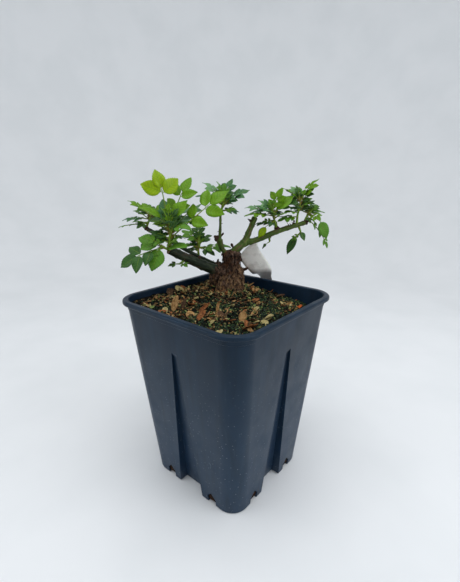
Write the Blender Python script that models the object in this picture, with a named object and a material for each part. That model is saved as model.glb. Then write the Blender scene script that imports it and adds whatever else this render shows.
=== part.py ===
"""A small-flowered rose, cut back hard, standing in a square nursery pot.

Units are metres, +Z is up, the pot's underside lies on z = 0 and the Z axis runs
up through the middle of the pot, whose sides lie along X and Y. The sub-parts are
the pot, its soil, the swollen trunk, six canes, a blank plant label and the
masses of foliage that grow from the canes.
"""
import math
import random
from collections import namedtuple

import bmesh
import bpy
from mathutils import Matrix, Vector
from mathutils.bvhtree import BVHTree

GAP = 0.0003
UP = Vector((0.0, 0.0, 1.0))

# Pot: outside sizes at the foot, under the rim and over the rim.
POT_HEIGHT = 0.228
FOOT_HALF = 0.068
FOOT_CORNER = 0.0206
WALL_HALF = 0.0854
WALL_CORNER = 0.0240
RIM_HALF = 0.0900
RIM_DEPTH = 0.0048
RIM_WIDTH = 0.0066
POT_WALL = 0.0018
POT_FLOOR = 0.0030
CORNER_STEPS = 6

# One groove up the middle of each side, and two drain notches beside its foot.
GROOVE_TOP = 0.187
GROOVE_BEVEL = 0.006
GROOVE_HALF_TOP = 0.0036
GROOVE_HALF_FOOT = 0.0185
GROOVE_DEPTH_TOP = 0.0022
GROOVE_DEPTH_FOOT = 0.0105
NOTCH_OFFSET = 0.034
NOTCH_HALF = 0.0062
NOTCH_SHOULDER = 0.0095
NOTCH_TOP = 0.0165
NOTCH_REACH = 0.006

# Soil: a slope from -X down to +X, with a mound that carries the trunk.
SOIL_LEVEL = 0.2140
SOIL_SLOPE_X = -0.085
SOIL_MOUND = 0.0050
SOIL_MOUND_REACH = 0.034
SOIL_BUMP = 0.0011
SOIL_RINGS = 7
LITTER_COUNT = 16
LITTER_LENGTH = (0.016, 0.028)
LITTER_CLEAR = 0.033

# Trunk: flat cut on the soil, root flare, waist and swollen crown.
TRUNK_BASE = Vector((-0.0351, 0.0424, 0.2223))
TRUNK_WAIST = Vector((-0.0315, 0.0441, 0.2540))
TRUNK_CROWN = Vector((-0.0309, 0.0433, 0.2640))
TRUNK_TOP = Vector((-0.0306, 0.0430, 0.2690))
TRUNK_SIDES = 20
TRUNK_PROFILE = ((0.00, 0.0208), (0.12, 0.0192), (0.28, 0.0158), (0.46, 0.0124),
                 (0.64, 0.0102), (0.78, 0.0106), (0.90, 0.0114), (0.97, 0.0096), (1.00, 0.0060))
FLARE_LOBES = 5
FLARE_DEPTH = 0.16

# Canes: smooth curves through a few points, with the radius at each point.
CANE_SIDES = 8
CANE_STEPS = 3
CANES = {
    "cane_left_thick": (
        ((-0.0335, 0.0400, 0.2420), 0.0068), ((-0.0423, 0.0245, 0.2465), 0.0064),
        ((-0.0500, -0.0040, 0.2610), 0.0056), ((-0.0594, -0.0308, 0.2762), 0.0047)),
    "cane_left_thin": (
        ((-0.0340, 0.0430, 0.2446), 0.0030), ((-0.0456, 0.0374, 0.2484), 0.0027),
        ((-0.0649, 0.0236, 0.2586), 0.0024), ((-0.0905, 0.0030, 0.2764), 0.0023),
        ((-0.1149, -0.0162, 0.2930), 0.0026)),
    "cane_middle": (
        ((-0.0335, 0.0400, 0.2640), 0.0032), ((-0.0370, 0.0338, 0.2705), 0.0028),
        ((-0.0386, 0.0302, 0.2815), 0.0039), ((-0.0378, 0.0299, 0.2860), 0.0019),
        ((-0.0368, 0.0298, 0.2990), 0.0015), ((-0.0362, 0.0296, 0.3120), 0.0014)),
    "cane_right_stub": (
        ((-0.0300, 0.0430, 0.2640), 0.0058), ((-0.0260, 0.0478, 0.2705), 0.0050),
        ((-0.0220, 0.0574, 0.2788), 0.0041), ((-0.0196, 0.0650, 0.2930), 0.0034),
        ((-0.0175, 0.0717, 0.3065), 0.0033)),
    "cane_right_long": (
        ((-0.0222, 0.0575, 0.2766), 0.0038), ((-0.0120, 0.0712, 0.2808), 0.0036),
        ((0.0027, 0.0915, 0.2897), 0.0033), ((0.0135, 0.1080, 0.2949), 0.0029),
        ((0.0237, 0.1224, 0.2993), 0.0027)),
    "cane_back_short": (
        ((-0.0224, 0.0570, 0.2740), 0.0026), ((-0.0214, 0.0690, 0.2765), 0.0024),
        ((-0.0185, 0.0840, 0.2790), 0.0022), ((-0.0144, 0.0979, 0.2812), 0.0018)),
}
CANE_BEARERS = {
    "cane_left_thick": ("trunk",),
    "cane_left_thin": ("trunk", "cane_left_thick"),
    "cane_middle": ("trunk",),
    "cane_right_stub": ("trunk", "cane_middle"),
    "cane_right_long": ("trunk", "cane_right_stub"),
    "cane_back_short": ("trunk", "cane_right_stub", "cane_right_long"),
}

# Plant label: a broad blank panel that hangs by a strap looped round a cane, with
# its tail curling out over the rim. Each station has its half width and the
# direction across the label there.
LABEL_THICKNESS = 0.0008
LABEL_STEPS = 4
LABEL_STATIONS = (
    ((-0.0211, 0.0798, 0.2754), 0.0030, (0.25, 0.95, 0.15)),
    ((-0.0262, 0.0775, 0.2705), 0.0080, (0.52, 0.70, 0.30)),
    ((-0.0288, 0.0758, 0.2620), 0.0136, (0.65, 0.55, 0.50)),
    ((-0.0250, 0.0825, 0.2505), 0.0138, (0.65, 0.55, 0.50)),
    ((-0.0208, 0.0922, 0.2385), 0.0130, (0.68, 0.53, 0.46)),
    ((-0.0202, 0.0995, 0.2325), 0.0102, (0.85, 0.35, 0.22)),
    ((-0.0214, 0.1049, 0.2260), 0.0080, (0.94, 0.28, 0.10)),
    ((-0.0209, 0.1104, 0.2160), 0.0070, (0.96, 0.25, 0.05)),
    ((-0.0205, 0.1126, 0.2040), 0.0066, (0.97, 0.22, 0.00)))
STRAP_CANE = "cane_back_short"
STRAP_AT = 0.56
STRAP_WIDTH = 0.0050
STRAP_STEPS = 14

# Compound leaves: a petiole with pairs of leaflets and one at the end.
PAIR_STEP = 0.24
PAIR_STAGGER = 0.02
END_STALK = 0.06
PETIOLE_RADIUS = 0.0008
LATERAL_ANGLE = 58.0
LATERAL_SIZE = (0.80, 0.92)
LEAFLET_WIDTH = 0.66
LEAFLET_KEEL = 0.0011
LEAFLET_ARCH = 0.14
LEAFLET_ROWS = ((0.30, 0.90), (0.68, 0.88))
FRONT_HEADING = -50.0
FRONT_RISE = 20.0
STEM_RADIUS = 0.0014
STEM_SIDES = 5
LEAF_TRIES = (0.0, 7.0, -7.0, 14.0, -14.0, 22.0, -22.0)

# A leaf stands at a share of its stem's length. Its heading is in degrees from +X
# towards +Y and its rise in degrees above the level. It droops by so many degrees
# from foot to tip, and its blades lie level where face is 0 and look at the
# brighter front of the plant where it is 1. The petiole is the share of its length
# that is bare stalk; lateral and breadth stretch its side leaflets and its blades.
Leaf = namedtuple("Leaf", "at heading rise length pairs droop face petiole lateral breadth",
                  defaults=(2, 20, 0.20, 0.26, 1.0, 1.0))

# A mass: the cane that bears it, how far along, the way its stem grows and the
# stem's length, the seeded leaves that fill its far side, and its named leaves.
Mass = namedtuple("Mass", "cane at heading rise length fill leaves")

MASSES = {
    "foliage_left_top": Mass("cane_left_thick", 0.97, 150, 86, 0.0215, 3, (
        Leaf(1.00, -167, 77, 0.060, pairs=1, droop=10, face=0.40, petiole=0.46, lateral=1.38, breadth=1.12),
        Leaf(0.36, 44, 39, 0.081, droop=0, face=0.60, petiole=0.38),
        Leaf(0.80, 81, 61, 0.063, face=0.40, petiole=0.36),
        Leaf(0.92, 11, 3, 0.029, pairs=1, face=0.35), Leaf(0.60, 76, 35, 0.055, face=0.0, petiole=0.34),
        Leaf(0.55, 68, 26, 0.043, face=0.40, petiole=0.36),
        Leaf(0.75, 172, 64, 0.037, pairs=1, face=0.40), Leaf(0.30, -161, 18, 0.028, face=0.30),
        Leaf(0.12, -148, 10, 0.027, face=0.30),
        Leaf(0.96, -147, 40, 0.038, pairs=0, face=0.30, petiole=0.22),
        Leaf(0.96, 52, 57, 0.034, pairs=0, face=0.50, petiole=0.22, breadth=1.1),
        Leaf(0.45, 72, -7, 0.019, pairs=1))),
    "foliage_left_low": Mass("cane_left_thick", 1.00, -110, 28, 0.0090, 0, (
        Leaf(1.00, -92, -54, 0.029, pairs=0, face=0.50, petiole=0.02, breadth=1.25),
        Leaf(0.70, -130, -21, 0.053, face=0.60),
        Leaf(0.60, -149, 18, 0.037, pairs=1, face=0.50, petiole=0.10),
        Leaf(0.30, 5, 16, 0.029, pairs=0, face=0.30, petiole=0.05))),
    "foliage_left_tip": Mass("cane_left_thin", 1.00, 60, 66, 0.0165, 3, (
        Leaf(1.00, -148, 36, 0.033, face=0.05), Leaf(0.72, -140, 0, 0.034, face=0.10),
        Leaf(0.40, -133, -6, 0.036, pairs=3, droop=10, face=0.0),
        Leaf(0.50, -109, -17, 0.018, pairs=1, face=0.60), Leaf(0.60, 69, -11, 0.030, face=0.30),
        Leaf(0.16, 59, -27, 0.028, face=0.30))),
    "foliage_left_mid": Mass("cane_left_thin", 0.52, 120, 74, 0.0150, 3, (
        Leaf(0.55, 34, 3, 0.040, droop=0, face=0.20), Leaf(0.80, 71, 32, 0.021, pairs=1, face=0.30),
        Leaf(0.55, 13, -18, 0.024, pairs=1, face=0.40), Leaf(1.00, 138, 58, 0.026, face=0.20),
        Leaf(0.90, -160, 34, 0.028, face=0.40), Leaf(0.20, -167, 5, 0.022, face=0.20))),
    "foliage_left_bud": Mass("cane_left_thick", 0.75, -92, -24, 0.0050, 0, (
        Leaf(1.00, -128, -4, 0.014, pairs=1, face=0.40),
        Leaf(0.70, -10, -4, 0.014, pairs=1, face=0.40))),
    "foliage_middle": Mass("cane_middle", 1.00, 47, 72, 0.0140, 2, (
        Leaf(0.92, -149, 44, 0.033, face=0.20), Leaf(1.00, 88, 62, 0.029, face=0.20),
        Leaf(0.66, -132, 22, 0.033, face=0.20), Leaf(0.85, 8, 67, 0.019, pairs=1, face=0.40),
        Leaf(0.72, 44, 30, 0.035, face=0.35), Leaf(0.20, 65, -2, 0.024, face=0.40),
        Leaf(0.80, -150, 50, 0.018, pairs=1, face=0.40), Leaf(0.50, 116, 16, 0.032, face=0.20))),
    "foliage_right_in": Mass("cane_right_long", 0.50, -127, 72, 0.0200, 2, (
        Leaf(0.78, -127, 3, 0.037, face=0.10), Leaf(1.00, -156, 11, 0.036, face=0.20),
        Leaf(1.00, -160, 56, 0.020, pairs=1, face=0.40), Leaf(1.00, 53, 71, 0.031, face=0.50),
        Leaf(0.70, -64, 27, 0.019, pairs=1, face=0.50),
        Leaf(0.90, 30, 44, 0.032, pairs=0, face=0.50, petiole=0.10),
        Leaf(0.50, -125, -39, 0.030, pairs=0, droop=40, face=0.70, petiole=0.40),
        Leaf(0.38, -151, -56, 0.022, pairs=1, face=0.70), Leaf(0.30, -156, -3, 0.029, face=0.10),
        Leaf(0.60, -12, 27, 0.020, pairs=1), Leaf(0.90, 66, 30, 0.043, face=0.20),
        Leaf(0.95, -164, 40, 0.025, pairs=1))),
    "foliage_right_out": Mass("cane_right_long", 0.83, 60, 84, 0.0255, 3, (
        Leaf(1.00, 61, 50, 0.036, face=0.0), Leaf(0.98, -140, 37, 0.029, face=0.0),
        Leaf(1.00, 165, 43, 0.027, face=0.10), Leaf(0.60, -120, 8, 0.020, face=0.20),
        Leaf(0.80, 68, 51, 0.027, face=0.20), Leaf(0.26, -117, -8, 0.029, face=0.25),
        Leaf(0.75, -168, 11, 0.028, face=0.20), Leaf(0.60, 69, 24, 0.027, face=0.20),
        Leaf(0.45, -112, 4, 0.022, pairs=1))),
    "foliage_right_tip": Mass("cane_right_long", 0.97, 70, 60, 0.0090, 2, (
        Leaf(0.90, 28, -47, 0.041, pairs=0, droop=60, face=0.80, petiole=0.35),
        Leaf(0.30, 47, -50, 0.051, pairs=3, droop=30, face=0.40), Leaf(1.00, 81, 29, 0.021, face=0.30),
        Leaf(0.60, -33, -40, 0.012, pairs=1, face=0.20))),
    "foliage_right_hang": Mass("cane_right_long", 0.86, 30, -66, 0.0070, 0, (
        Leaf(1.00, -133, -54, 0.032, pairs=0, droop=10, face=0.40, petiole=0.14, breadth=0.75),
        Leaf(0.60, 4, -60, 0.014, pairs=0, face=0.50, petiole=0.05))),
    "foliage_right_bud": Mass("cane_right_long", 0.40, 120, -70, 0.0060, 0, (
        Leaf(1.00, -154, -42, 0.013, pairs=0, face=0.40),)),
}
FILL_TURN = 137.5
FILL_LENGTH = (0.026, 0.040)
FILL_RISE = (-12.0, 22.0)
FILL_HEADING = (85.0, 180.0)


def clear_scene():
    """Take every object out of the open scene."""
    for item in list(bpy.data.objects):
        bpy.data.objects.remove(item, do_unlink=True)


def principled(name, colour, roughness, metallic=0.0):
    """Return a new Principled material of one colour."""
    material = bpy.data.materials.new(name)
    material.use_nodes = True
    shader = material.node_tree.nodes["Principled BSDF"]
    shader.inputs["Base Color"].default_value = (*colour, 1.0)
    shader.inputs["Roughness"].default_value = roughness
    shader.inputs["Metallic"].default_value = metallic
    material.diffuse_color = (*colour, 1.0)
    return material


def new_object(name, bm, material=None):
    """Turn a bmesh into a linked object with its faces pointing out."""
    bmesh.ops.recalc_face_normals(bm, faces=bm.faces)
    mesh = bpy.data.meshes.new(name)
    bm.to_mesh(mesh)
    bm.free()
    item = bpy.data.objects.new(name, mesh)
    bpy.context.scene.collection.objects.link(item)
    if material:
        mesh.materials.append(material)
    return item


def hide(item):
    """Mark an object as a cutter."""
    item.hide_render = True
    item.display_type = 'WIRE'


def cut(item, cutter):
    """Cut one object out of another with a live Boolean."""
    modifier = item.modifiers.new("cut_" + cutter.name, 'BOOLEAN')
    modifier.operation = 'DIFFERENCE'
    modifier.object = cutter


def bake(item):
    """Replace an object's mesh by what its modifiers make of it."""
    graph = bpy.context.evaluated_depsgraph_get()
    mesh = bpy.data.meshes.new_from_object(item.evaluated_get(graph))
    item.modifiers.clear()
    item.data = mesh


def direction(heading, rise):
    """Return the unit vector at a heading from +X and a rise above the level."""
    turn = math.radians(heading)
    tilt = math.radians(rise)
    return Vector((math.cos(turn) * math.cos(tilt), math.sin(turn) * math.cos(tilt), math.sin(tilt)))


def blend(low, high, share):
    """Return the number a share of the way from low to high."""
    return low + (high - low) * share


def loft(bm, rings, close_start=True, close_end=True):
    """Skin a list of equal rings of points and cap the two ends."""
    rows = [[bm.verts.new(point) for point in ring] for ring in rings]
    count = len(rows[0])
    for row, following in zip(rows, rows[1:]):
        for index in range(count):
            after = (index + 1) % count
            bm.faces.new((row[index], row[after], following[after], following[index]))
    if close_start:
        bm.faces.new(list(reversed(rows[0])))
    if close_end:
        bm.faces.new(rows[-1])


def smooth_path(stations, steps):
    """Return (point, radius) pairs on a Catmull-Rom curve through the stations."""
    points = [Vector(point) for point, _ in stations]
    radii = [radius for _, radius in stations]
    points = [points[0] * 2 - points[1], *points, points[-1] * 2 - points[-2]]
    path = []
    for index in range(len(radii) - 1):
        before, start, end, after = points[index:index + 4]
        for step in range(steps):
            t = step / steps
            point = 0.5 * (2 * start + (end - before) * t
                           + (2 * before - 5 * start + 4 * end - after) * t ** 2
                           + (3 * start - before - 3 * end + after) * t ** 3)
            path.append((point, blend(radii[index], radii[index + 1], t)))
    path.append((points[-2], radii[-1]))
    return path


def tube_rings(path, sides):
    """Return rings of points round a path, carried along it without twist."""
    points = [point for point, _ in path]
    tangent = (points[1] - points[0]).normalized()
    side = tangent.orthogonal().normalized()
    rings = []
    for index, (point, radius) in enumerate(path):
        ahead = points[min(index + 1, len(points) - 1)]
        behind = points[max(index - 1, 0)]
        tangent = (ahead - behind).normalized()
        side = (side - tangent * side.dot(tangent)).normalized()
        other = tangent.cross(side)
        turns = [2 * math.pi * step / sides for step in range(sides)]
        rings.append([point + (side * math.cos(turn) + other * math.sin(turn)) * radius for turn in turns])
    return rings


def tube(bm, path, sides):
    """Add a closed tube to a bmesh."""
    loft(bm, tube_rings(path, sides))


def wall_half(z):
    """Half the pot's width over the wall at a height."""
    return blend(FOOT_HALF, WALL_HALF, z / POT_HEIGHT)


def pot_outline(z, inset, half=None):
    """Return the pot's outline at a height, moved in from the outer wall.

    Each quarter is one rounded corner and then the four points of the groove on
    the side that follows it. A given half is the rim's, which has no groove.
    """
    radius = max(blend(FOOT_CORNER, WALL_CORNER, z / POT_HEIGHT) - inset, 0.002)
    if half is None:
        half = wall_half(z)
    else:
        radius += half - wall_half(z)
    half -= inset
    share = 1.0 - z / GROOVE_TOP
    groove_half = blend(GROOVE_HALF_TOP, GROOVE_HALF_FOOT, max(share, 0.0)) + inset
    depth = blend(GROOVE_DEPTH_TOP, GROOVE_DEPTH_FOOT, share)
    depth *= min(max((GROOVE_TOP - z) / GROOVE_BEVEL, 0.0), 1.0)
    quarter = []
    for step in range(CORNER_STEPS + 1):
        turn = math.radians(90.0 * step / CORNER_STEPS)
        quarter.append((half - radius + radius * math.cos(turn), half - radius + radius * math.sin(turn)))
    quarter += [(groove_half, half), (groove_half, half - depth), (-groove_half, half - depth),
                (-groove_half, half)]
    outline = []
    for turns in range(4):
        spin = Matrix.Rotation(math.radians(90.0 * turns), 3, 'Z')
        outline += [spin @ Vector((x, y, z)) for x, y in quarter]
    return outline


def make_pot(material):
    """Build the square pot: tapered grooved walls, a rolled rim, a floor and notches."""
    groove_shoulder = GROOVE_TOP - GROOVE_BEVEL
    rim_foot = POT_HEIGHT - RIM_DEPTH
    rim_inner = RIM_HALF - RIM_WIDTH
    rings = [pot_outline(0.0, 0.0012), pot_outline(0.0014, 0.0)]
    rings += [pot_outline(z, 0.0) for z in (groove_shoulder, GROOVE_TOP, rim_foot)]
    rings += [pot_outline(z, 0.0, half) for z, half in (
        (rim_foot + 0.0002, RIM_HALF - 0.0008), (rim_foot + 0.0012, RIM_HALF),
        (POT_HEIGHT - 0.0014, RIM_HALF), (POT_HEIGHT - 0.0003, RIM_HALF - 0.0010),
        (POT_HEIGHT, RIM_HALF - 0.0022), (POT_HEIGHT, rim_inner + 0.0014),
        (POT_HEIGHT - 0.0006, rim_inner + 0.0003))]
    inner = (POT_HEIGHT - 0.0035, GROOVE_TOP, groove_shoulder, POT_FLOOR)
    rings += [pot_outline(z, POT_WALL) for z in inner]
    bm = bmesh.new()
    loft(bm, rings)
    pot = new_object("pot", bm, material)
    for side in range(4):
        for sign in (-1, 1):
            cut(pot, notch_cutter(side, sign))
    bake(pot)
    return pot


def notch_cutter(side, sign):
    """Return the hidden pointed prism that cuts one drain notch through a wall."""
    outline = ((-NOTCH_HALF, -0.002), (NOTCH_HALF, -0.002), (NOTCH_HALF, NOTCH_SHOULDER),
               (0.0, NOTCH_TOP), (-NOTCH_HALF, NOTCH_SHOULDER))
    near = FOOT_HALF - NOTCH_REACH
    far = FOOT_HALF + NOTCH_REACH
    bm = bmesh.new()
    loft(bm, [[Vector((sign * NOTCH_OFFSET + x, y, z)) for x, z in outline] for y in (near, far)])
    spin = Matrix.Rotation(math.radians(90.0 * side), 3, 'Z')
    bmesh.ops.rotate(bm, cent=(0, 0, 0), matrix=spin, verts=bm.verts)
    cutter = new_object(f"notch_cutter_{side}_{'left' if sign < 0 else 'right'}", bm)
    hide(cutter)
    return cutter


def soil_height(x, y):
    """Return the smooth height of the soil at a place."""
    reach = math.hypot(x - TRUNK_BASE.x, y - TRUNK_BASE.y) / SOIL_MOUND_REACH
    return SOIL_LEVEL + SOIL_SLOPE_X * x + SOIL_MOUND * math.exp(-reach * reach)


def make_soil(material):
    """Build the soil: a block that fills the pot, with a bumpy mounded top."""
    rng = random.Random(7)
    inset = POT_WALL + GAP
    groove_shoulder = GROOVE_TOP - GROOVE_BEVEL
    pad = TRUNK_BASE.z - GAP
    rings = [pot_outline(z, inset) for z in (POT_FLOOR + GAP, groove_shoulder, GROOVE_TOP)]
    edge = [point.copy() for point in pot_outline(SOIL_LEVEL, inset)]
    for index, point in enumerate(edge):
        edge[index] = pot_outline(soil_height(point.x, point.y), inset)[index]
    rings.append(edge)
    centre = Vector((TRUNK_BASE.x, TRUNK_BASE.y, pad))
    pad_radius = TRUNK_PROFILE[0][1] * (1.0 + FLARE_DEPTH) + 0.001
    for ring_index in range(1, SOIL_RINGS):
        share = ring_index / SOIL_RINGS
        ring = []
        for point in edge:
            outward = Vector((point.x - centre.x, point.y - centre.y, 0.0)).normalized()
            place = point.lerp(centre + outward * pad_radius, share)
            height = soil_height(place.x, place.y) + rng.uniform(-SOIL_BUMP, SOIL_BUMP)
            ring.append(Vector((place.x, place.y, min(height, pad))))
        rings.append(ring)
    outward = [Vector((point.x - centre.x, point.y - centre.y, 0.0)).normalized() for point in edge]
    rings.append([centre + way * pad_radius for way in outward])
    bm = bmesh.new()
    loft(bm, rings)
    return new_object("soil", bm, material)


def scatter_litter(soil, blockers):
    """Fuse curled dry leaves onto the soil, clear of the pot and the trunk."""
    rng = random.Random(19)
    pieces = bpy.data.collections.new("litter")
    for index in range(LITTER_COUNT):
        x = rng.uniform(-0.070, 0.070)
        y = rng.uniform(-0.070, 0.070)
        heading = rng.uniform(0.0, 360.0)
        rise = rng.uniform(6.0, 26.0)
        length = rng.uniform(*LITTER_LENGTH)
        root = Vector((x, y, soil_height(x, y) - 0.0028))
        forward = direction(heading, rise)
        normal = (UP - forward * forward.z).normalized()
        bm = bmesh.new()
        leaflet(bm, root, forward, normal, length, length * 0.5, 0.0014)
        near_trunk = math.hypot(x - TRUNK_BASE.x, y - TRUNK_BASE.y) < LITTER_CLEAR
        if near_trunk or touches(bm, blockers):
            bm.free()
            continue
        piece = new_object(f"litter_{index}", bm)
        pieces.objects.link(piece)
    fuse(soil, pieces)


def make_trunk(material):
    """Build the trunk from its flat cut on the soil to its swollen crown."""
    stations = ((TRUNK_BASE, 0.0), (TRUNK_WAIST, 0.0), (TRUNK_CROWN, 0.0), (TRUNK_TOP, 0.0))
    height = TRUNK_TOP.z - TRUNK_BASE.z
    axis = [point for point, _ in smooth_path(stations, 8)]
    rng = random.Random(3)
    rings = []
    for share, radius in TRUNK_PROFILE:
        z = TRUNK_BASE.z + share * height
        centre = min(axis, key=lambda point: abs(point.z - z))
        flare = FLARE_DEPTH * (1.0 - share) ** 2
        ring = []
        for step in range(TRUNK_SIDES):
            turn = 2 * math.pi * step / TRUNK_SIDES
            lobe = 1.0 + flare * math.cos(FLARE_LOBES * turn + 0.7) + rng.uniform(-0.05, 0.05)
            ring.append(Vector((centre.x + math.cos(turn) * radius * lobe,
                                centre.y + math.sin(turn) * radius * lobe, z)))
        rings.append(ring)
    bm = bmesh.new()
    loft(bm, rings)
    return new_object("trunk", bm, material)


def trunk_clearance(trunk):
    """Return a hidden copy of the trunk, one gap larger all round."""
    bm = bmesh.new()
    bm.from_mesh(trunk.data)
    for vert in bm.verts:
        vert.co += vert.normal * (GAP * 1.3)
    copy = new_object("trunk_clearance", bm)
    hide(copy)
    return copy


def cane_clearance(name, stations):
    """Return a hidden tube, one gap larger than a cane, to cut its neighbours by."""
    bm = bmesh.new()
    path = smooth_path(stations, CANE_STEPS)
    tube(bm, [(point, radius + GAP * 1.3) for point, radius in path], CANE_SIDES)
    copy = new_object(name + "_clearance", bm)
    hide(copy)
    return copy


def make_canes(material, trunk):
    """Build the canes, each ending one gap clear of what bears it."""
    cutters = {"trunk": trunk_clearance(trunk)}
    canes = {}
    for name, stations in CANES.items():
        bm = bmesh.new()
        tube(bm, smooth_path(stations, CANE_STEPS), CANE_SIDES)
        cane = new_object(name, bm, material)
        for bearer in CANE_BEARERS[name]:
            cut(cane, cutters[bearer])
        bake(cane)
        keep_main_body(cane)
        cutters[name] = cane_clearance(name, stations)
        canes[name] = cane
    for cutter in cutters.values():
        bpy.data.objects.remove(cutter)
    return canes


def keep_main_body(item):
    """Drop every loose scrap that a Boolean leaves beside the main body."""
    bm = bmesh.new()
    bm.from_mesh(item.data)
    groups = []
    left = set(bm.verts)
    while left:
        group = set()
        front = [left.pop()]
        while front:
            vert = front.pop()
            group.add(vert)
            for edge in vert.link_edges:
                other = edge.other_vert(vert)
                if other in left:
                    left.remove(other)
                    front.append(other)
        groups.append(group)
    groups.sort(key=len)
    scraps = [vert for group in groups[:-1] for vert in group]
    bmesh.ops.delete(bm, geom=scraps, context='VERTS')
    bm.to_mesh(item.data)
    bm.free()


def cane_point(cane, at):
    """Return the place, direction and radius a share of the way along a cane."""
    path = smooth_path(CANES[cane], CANE_STEPS)
    spans = len(path) - 1
    index = min(int(at * spans), spans - 1)
    (start, start_radius), (end, end_radius) = path[index:index + 2]
    share = at * spans - index
    return start.lerp(end, share), (end - start).normalized(), blend(start_radius, end_radius, share)


def make_label(material):
    """Build the blank label: a curved panel fused to a strap round its cane."""
    path = smooth_path([(centre, half) for centre, half, _ in LABEL_STATIONS], LABEL_STEPS)
    acrosses = [Vector(across).normalized() for _, _, across in LABEL_STATIONS]
    last = len(path) - 1
    rings = []
    for index, (centre, half) in enumerate(path):
        station, step = divmod(index, LABEL_STEPS)
        following = min(station + 1, len(acrosses) - 1)
        across = acrosses[station].lerp(acrosses[following], step / LABEL_STEPS).normalized()
        along = path[min(index + 1, last)][0] - path[max(index - 1, 0)][0]
        face = along.cross(across).normalized() * (LABEL_THICKNESS / 2)
        rings.append([centre + across * half + face, centre - across * half + face,
                      centre - across * half - face, centre + across * half - face])
    bm = bmesh.new()
    loft(bm, rings)
    label = new_object("plant_label", bm, material)
    pieces = bpy.data.collections.new("label_pieces")
    pieces.objects.link(make_strap())
    fuse(label, pieces)
    return label


def make_strap():
    """Return the label's strap: a flat hoop round its cane, one gap clear of it."""
    place, along, radius = cane_point(STRAP_CANE, STRAP_AT)
    inner = radius + 2 * GAP
    side = along.orthogonal().normalized()
    other = along.cross(side)
    corners = ((inner, -0.5), (inner + LABEL_THICKNESS, -0.5), (inner + LABEL_THICKNESS, 0.5), (inner, 0.5))
    bm = bmesh.new()
    rows = []
    for step in range(STRAP_STEPS):
        turn = 2 * math.pi * step / STRAP_STEPS
        out = side * math.cos(turn) + other * math.sin(turn)
        rows.append([bm.verts.new(place + out * reach + along * (STRAP_WIDTH * run))
                     for reach, run in corners])
    for row, following in zip(rows, rows[1:] + rows[:1]):
        for index in range(4):
            after = (index + 1) % 4
            bm.faces.new((row[index], row[after], following[after], following[index]))
    return new_object("label_strap", bm)


def fuse(item, pieces):
    """Join a collection's objects to an object by one applied union."""
    modifier = item.modifiers.new("fuse", 'BOOLEAN')
    modifier.operation = 'UNION'
    modifier.solver = 'MANIFOLD'
    modifier.operand_type = 'COLLECTION'
    modifier.collection = pieces
    bpy.context.scene.collection.children.link(pieces)
    bake(item)
    keep_main_body(item)
    for piece in list(pieces.objects):
        bpy.data.objects.remove(piece)
    bpy.data.collections.remove(pieces)


def leaflet(bm, root, forward, normal, length, width, keel):
    """Add one leaflet: an oval blade with a keel under its midrib, arching to its tip."""
    side = normal.cross(forward).normalized()
    rings = []
    for share, spread in LEAFLET_ROWS:
        half = spread * width / 2
        centre = root + forward * (share * length) - normal * (LEAFLET_ARCH * length * share * share)
        rings.append([centre + side * half, centre - side * half, centre - normal * keel])
    loft(bm, rings, close_start=False, close_end=False)
    bm.verts.ensure_lookup_table()
    ends = ((bm.verts[-6:-3], root - forward * 0.0005),
            (bm.verts[-3:], root + forward * length - normal * (LEAFLET_ARCH * length)))
    for ring, place in ends:
        point = bm.verts.new(place)
        for index in range(3):
            bm.faces.new((ring[index], ring[(index + 1) % 3], point))
        bm.verts.ensure_lookup_table()


def leaf_parts(base, leaf, swell=0.0):
    """Return one bmesh for the petiole and one for each leaflet of a leaf.

    A swell makes every part that much thicker, to test for room.
    """
    if leaf.pairs > 1:
        steps = [leaf.petiole] + [PAIR_STEP] * (leaf.pairs - 1) + [END_STALK]
    elif leaf.pairs:
        steps = [leaf.petiole + PAIR_STEP / 2, END_STALK]
    else:
        steps = [leaf.petiole + END_STALK]
    joints = [base]
    ways = []
    run = 0.0
    for step in steps:
        ways.append(direction(leaf.heading, leaf.rise + leaf.droop * (0.5 - run - step / 2)))
        joints.append(joints[-1] + ways[-1] * (step * leaf.length))
        run += step
    end_way = direction(leaf.heading, leaf.rise + leaf.droop * (0.5 - (1.0 + run) / 2))
    radius = PETIOLE_RADIUS + swell
    path = [(joint, radius) for joint in joints[:-1]] + [(joints[-1] + end_way * 0.001, radius)]
    bm = bmesh.new()
    tube(bm, path, 3)
    parts = [bm]
    keel = LEAFLET_KEEL + 2 * swell
    terminal = (1.0 - run) * leaf.length
    width = LEAFLET_WIDTH * leaf.breadth
    for number, joint in enumerate(joints[1:-1]):
        way = ways[number]
        normal = leaf_normal(way, leaf.face)
        size = terminal * leaf.lateral * blend(*LATERAL_SIZE, number / max(leaf.pairs - 1, 1))
        for sign in (-1, 1):
            turned = Matrix.Rotation(math.radians(sign * LATERAL_ANGLE), 3, normal) @ way
            root = joint + way * (sign * PAIR_STAGGER / 2 * leaf.length)
            bm = bmesh.new()
            leaflet(bm, root, turned, normal, size, size * width, keel)
            parts.append(bm)
    bm = bmesh.new()
    leaflet(bm, joints[-1], end_way, leaf_normal(end_way, leaf.face), terminal, terminal * width, keel)
    parts.append(bm)
    return parts


def leaf_normal(way, face):
    """Return the direction that a leaf's upper face looks in."""
    sky = UP.lerp(direction(FRONT_HEADING, FRONT_RISE), face).normalized()
    lean = sky - way * way.dot(sky)
    if lean.length < 0.25:
        lean = direction(FRONT_HEADING, 90.0 - FRONT_RISE)
        lean -= way * way.dot(lean)
    return lean.normalized()


def touches(bm, blockers):
    """Say whether a bmesh meets any of the trees of faces."""
    tree = BVHTree.FromBMesh(bm)
    return any(tree.overlap(blocker) for blocker in blockers)


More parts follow.
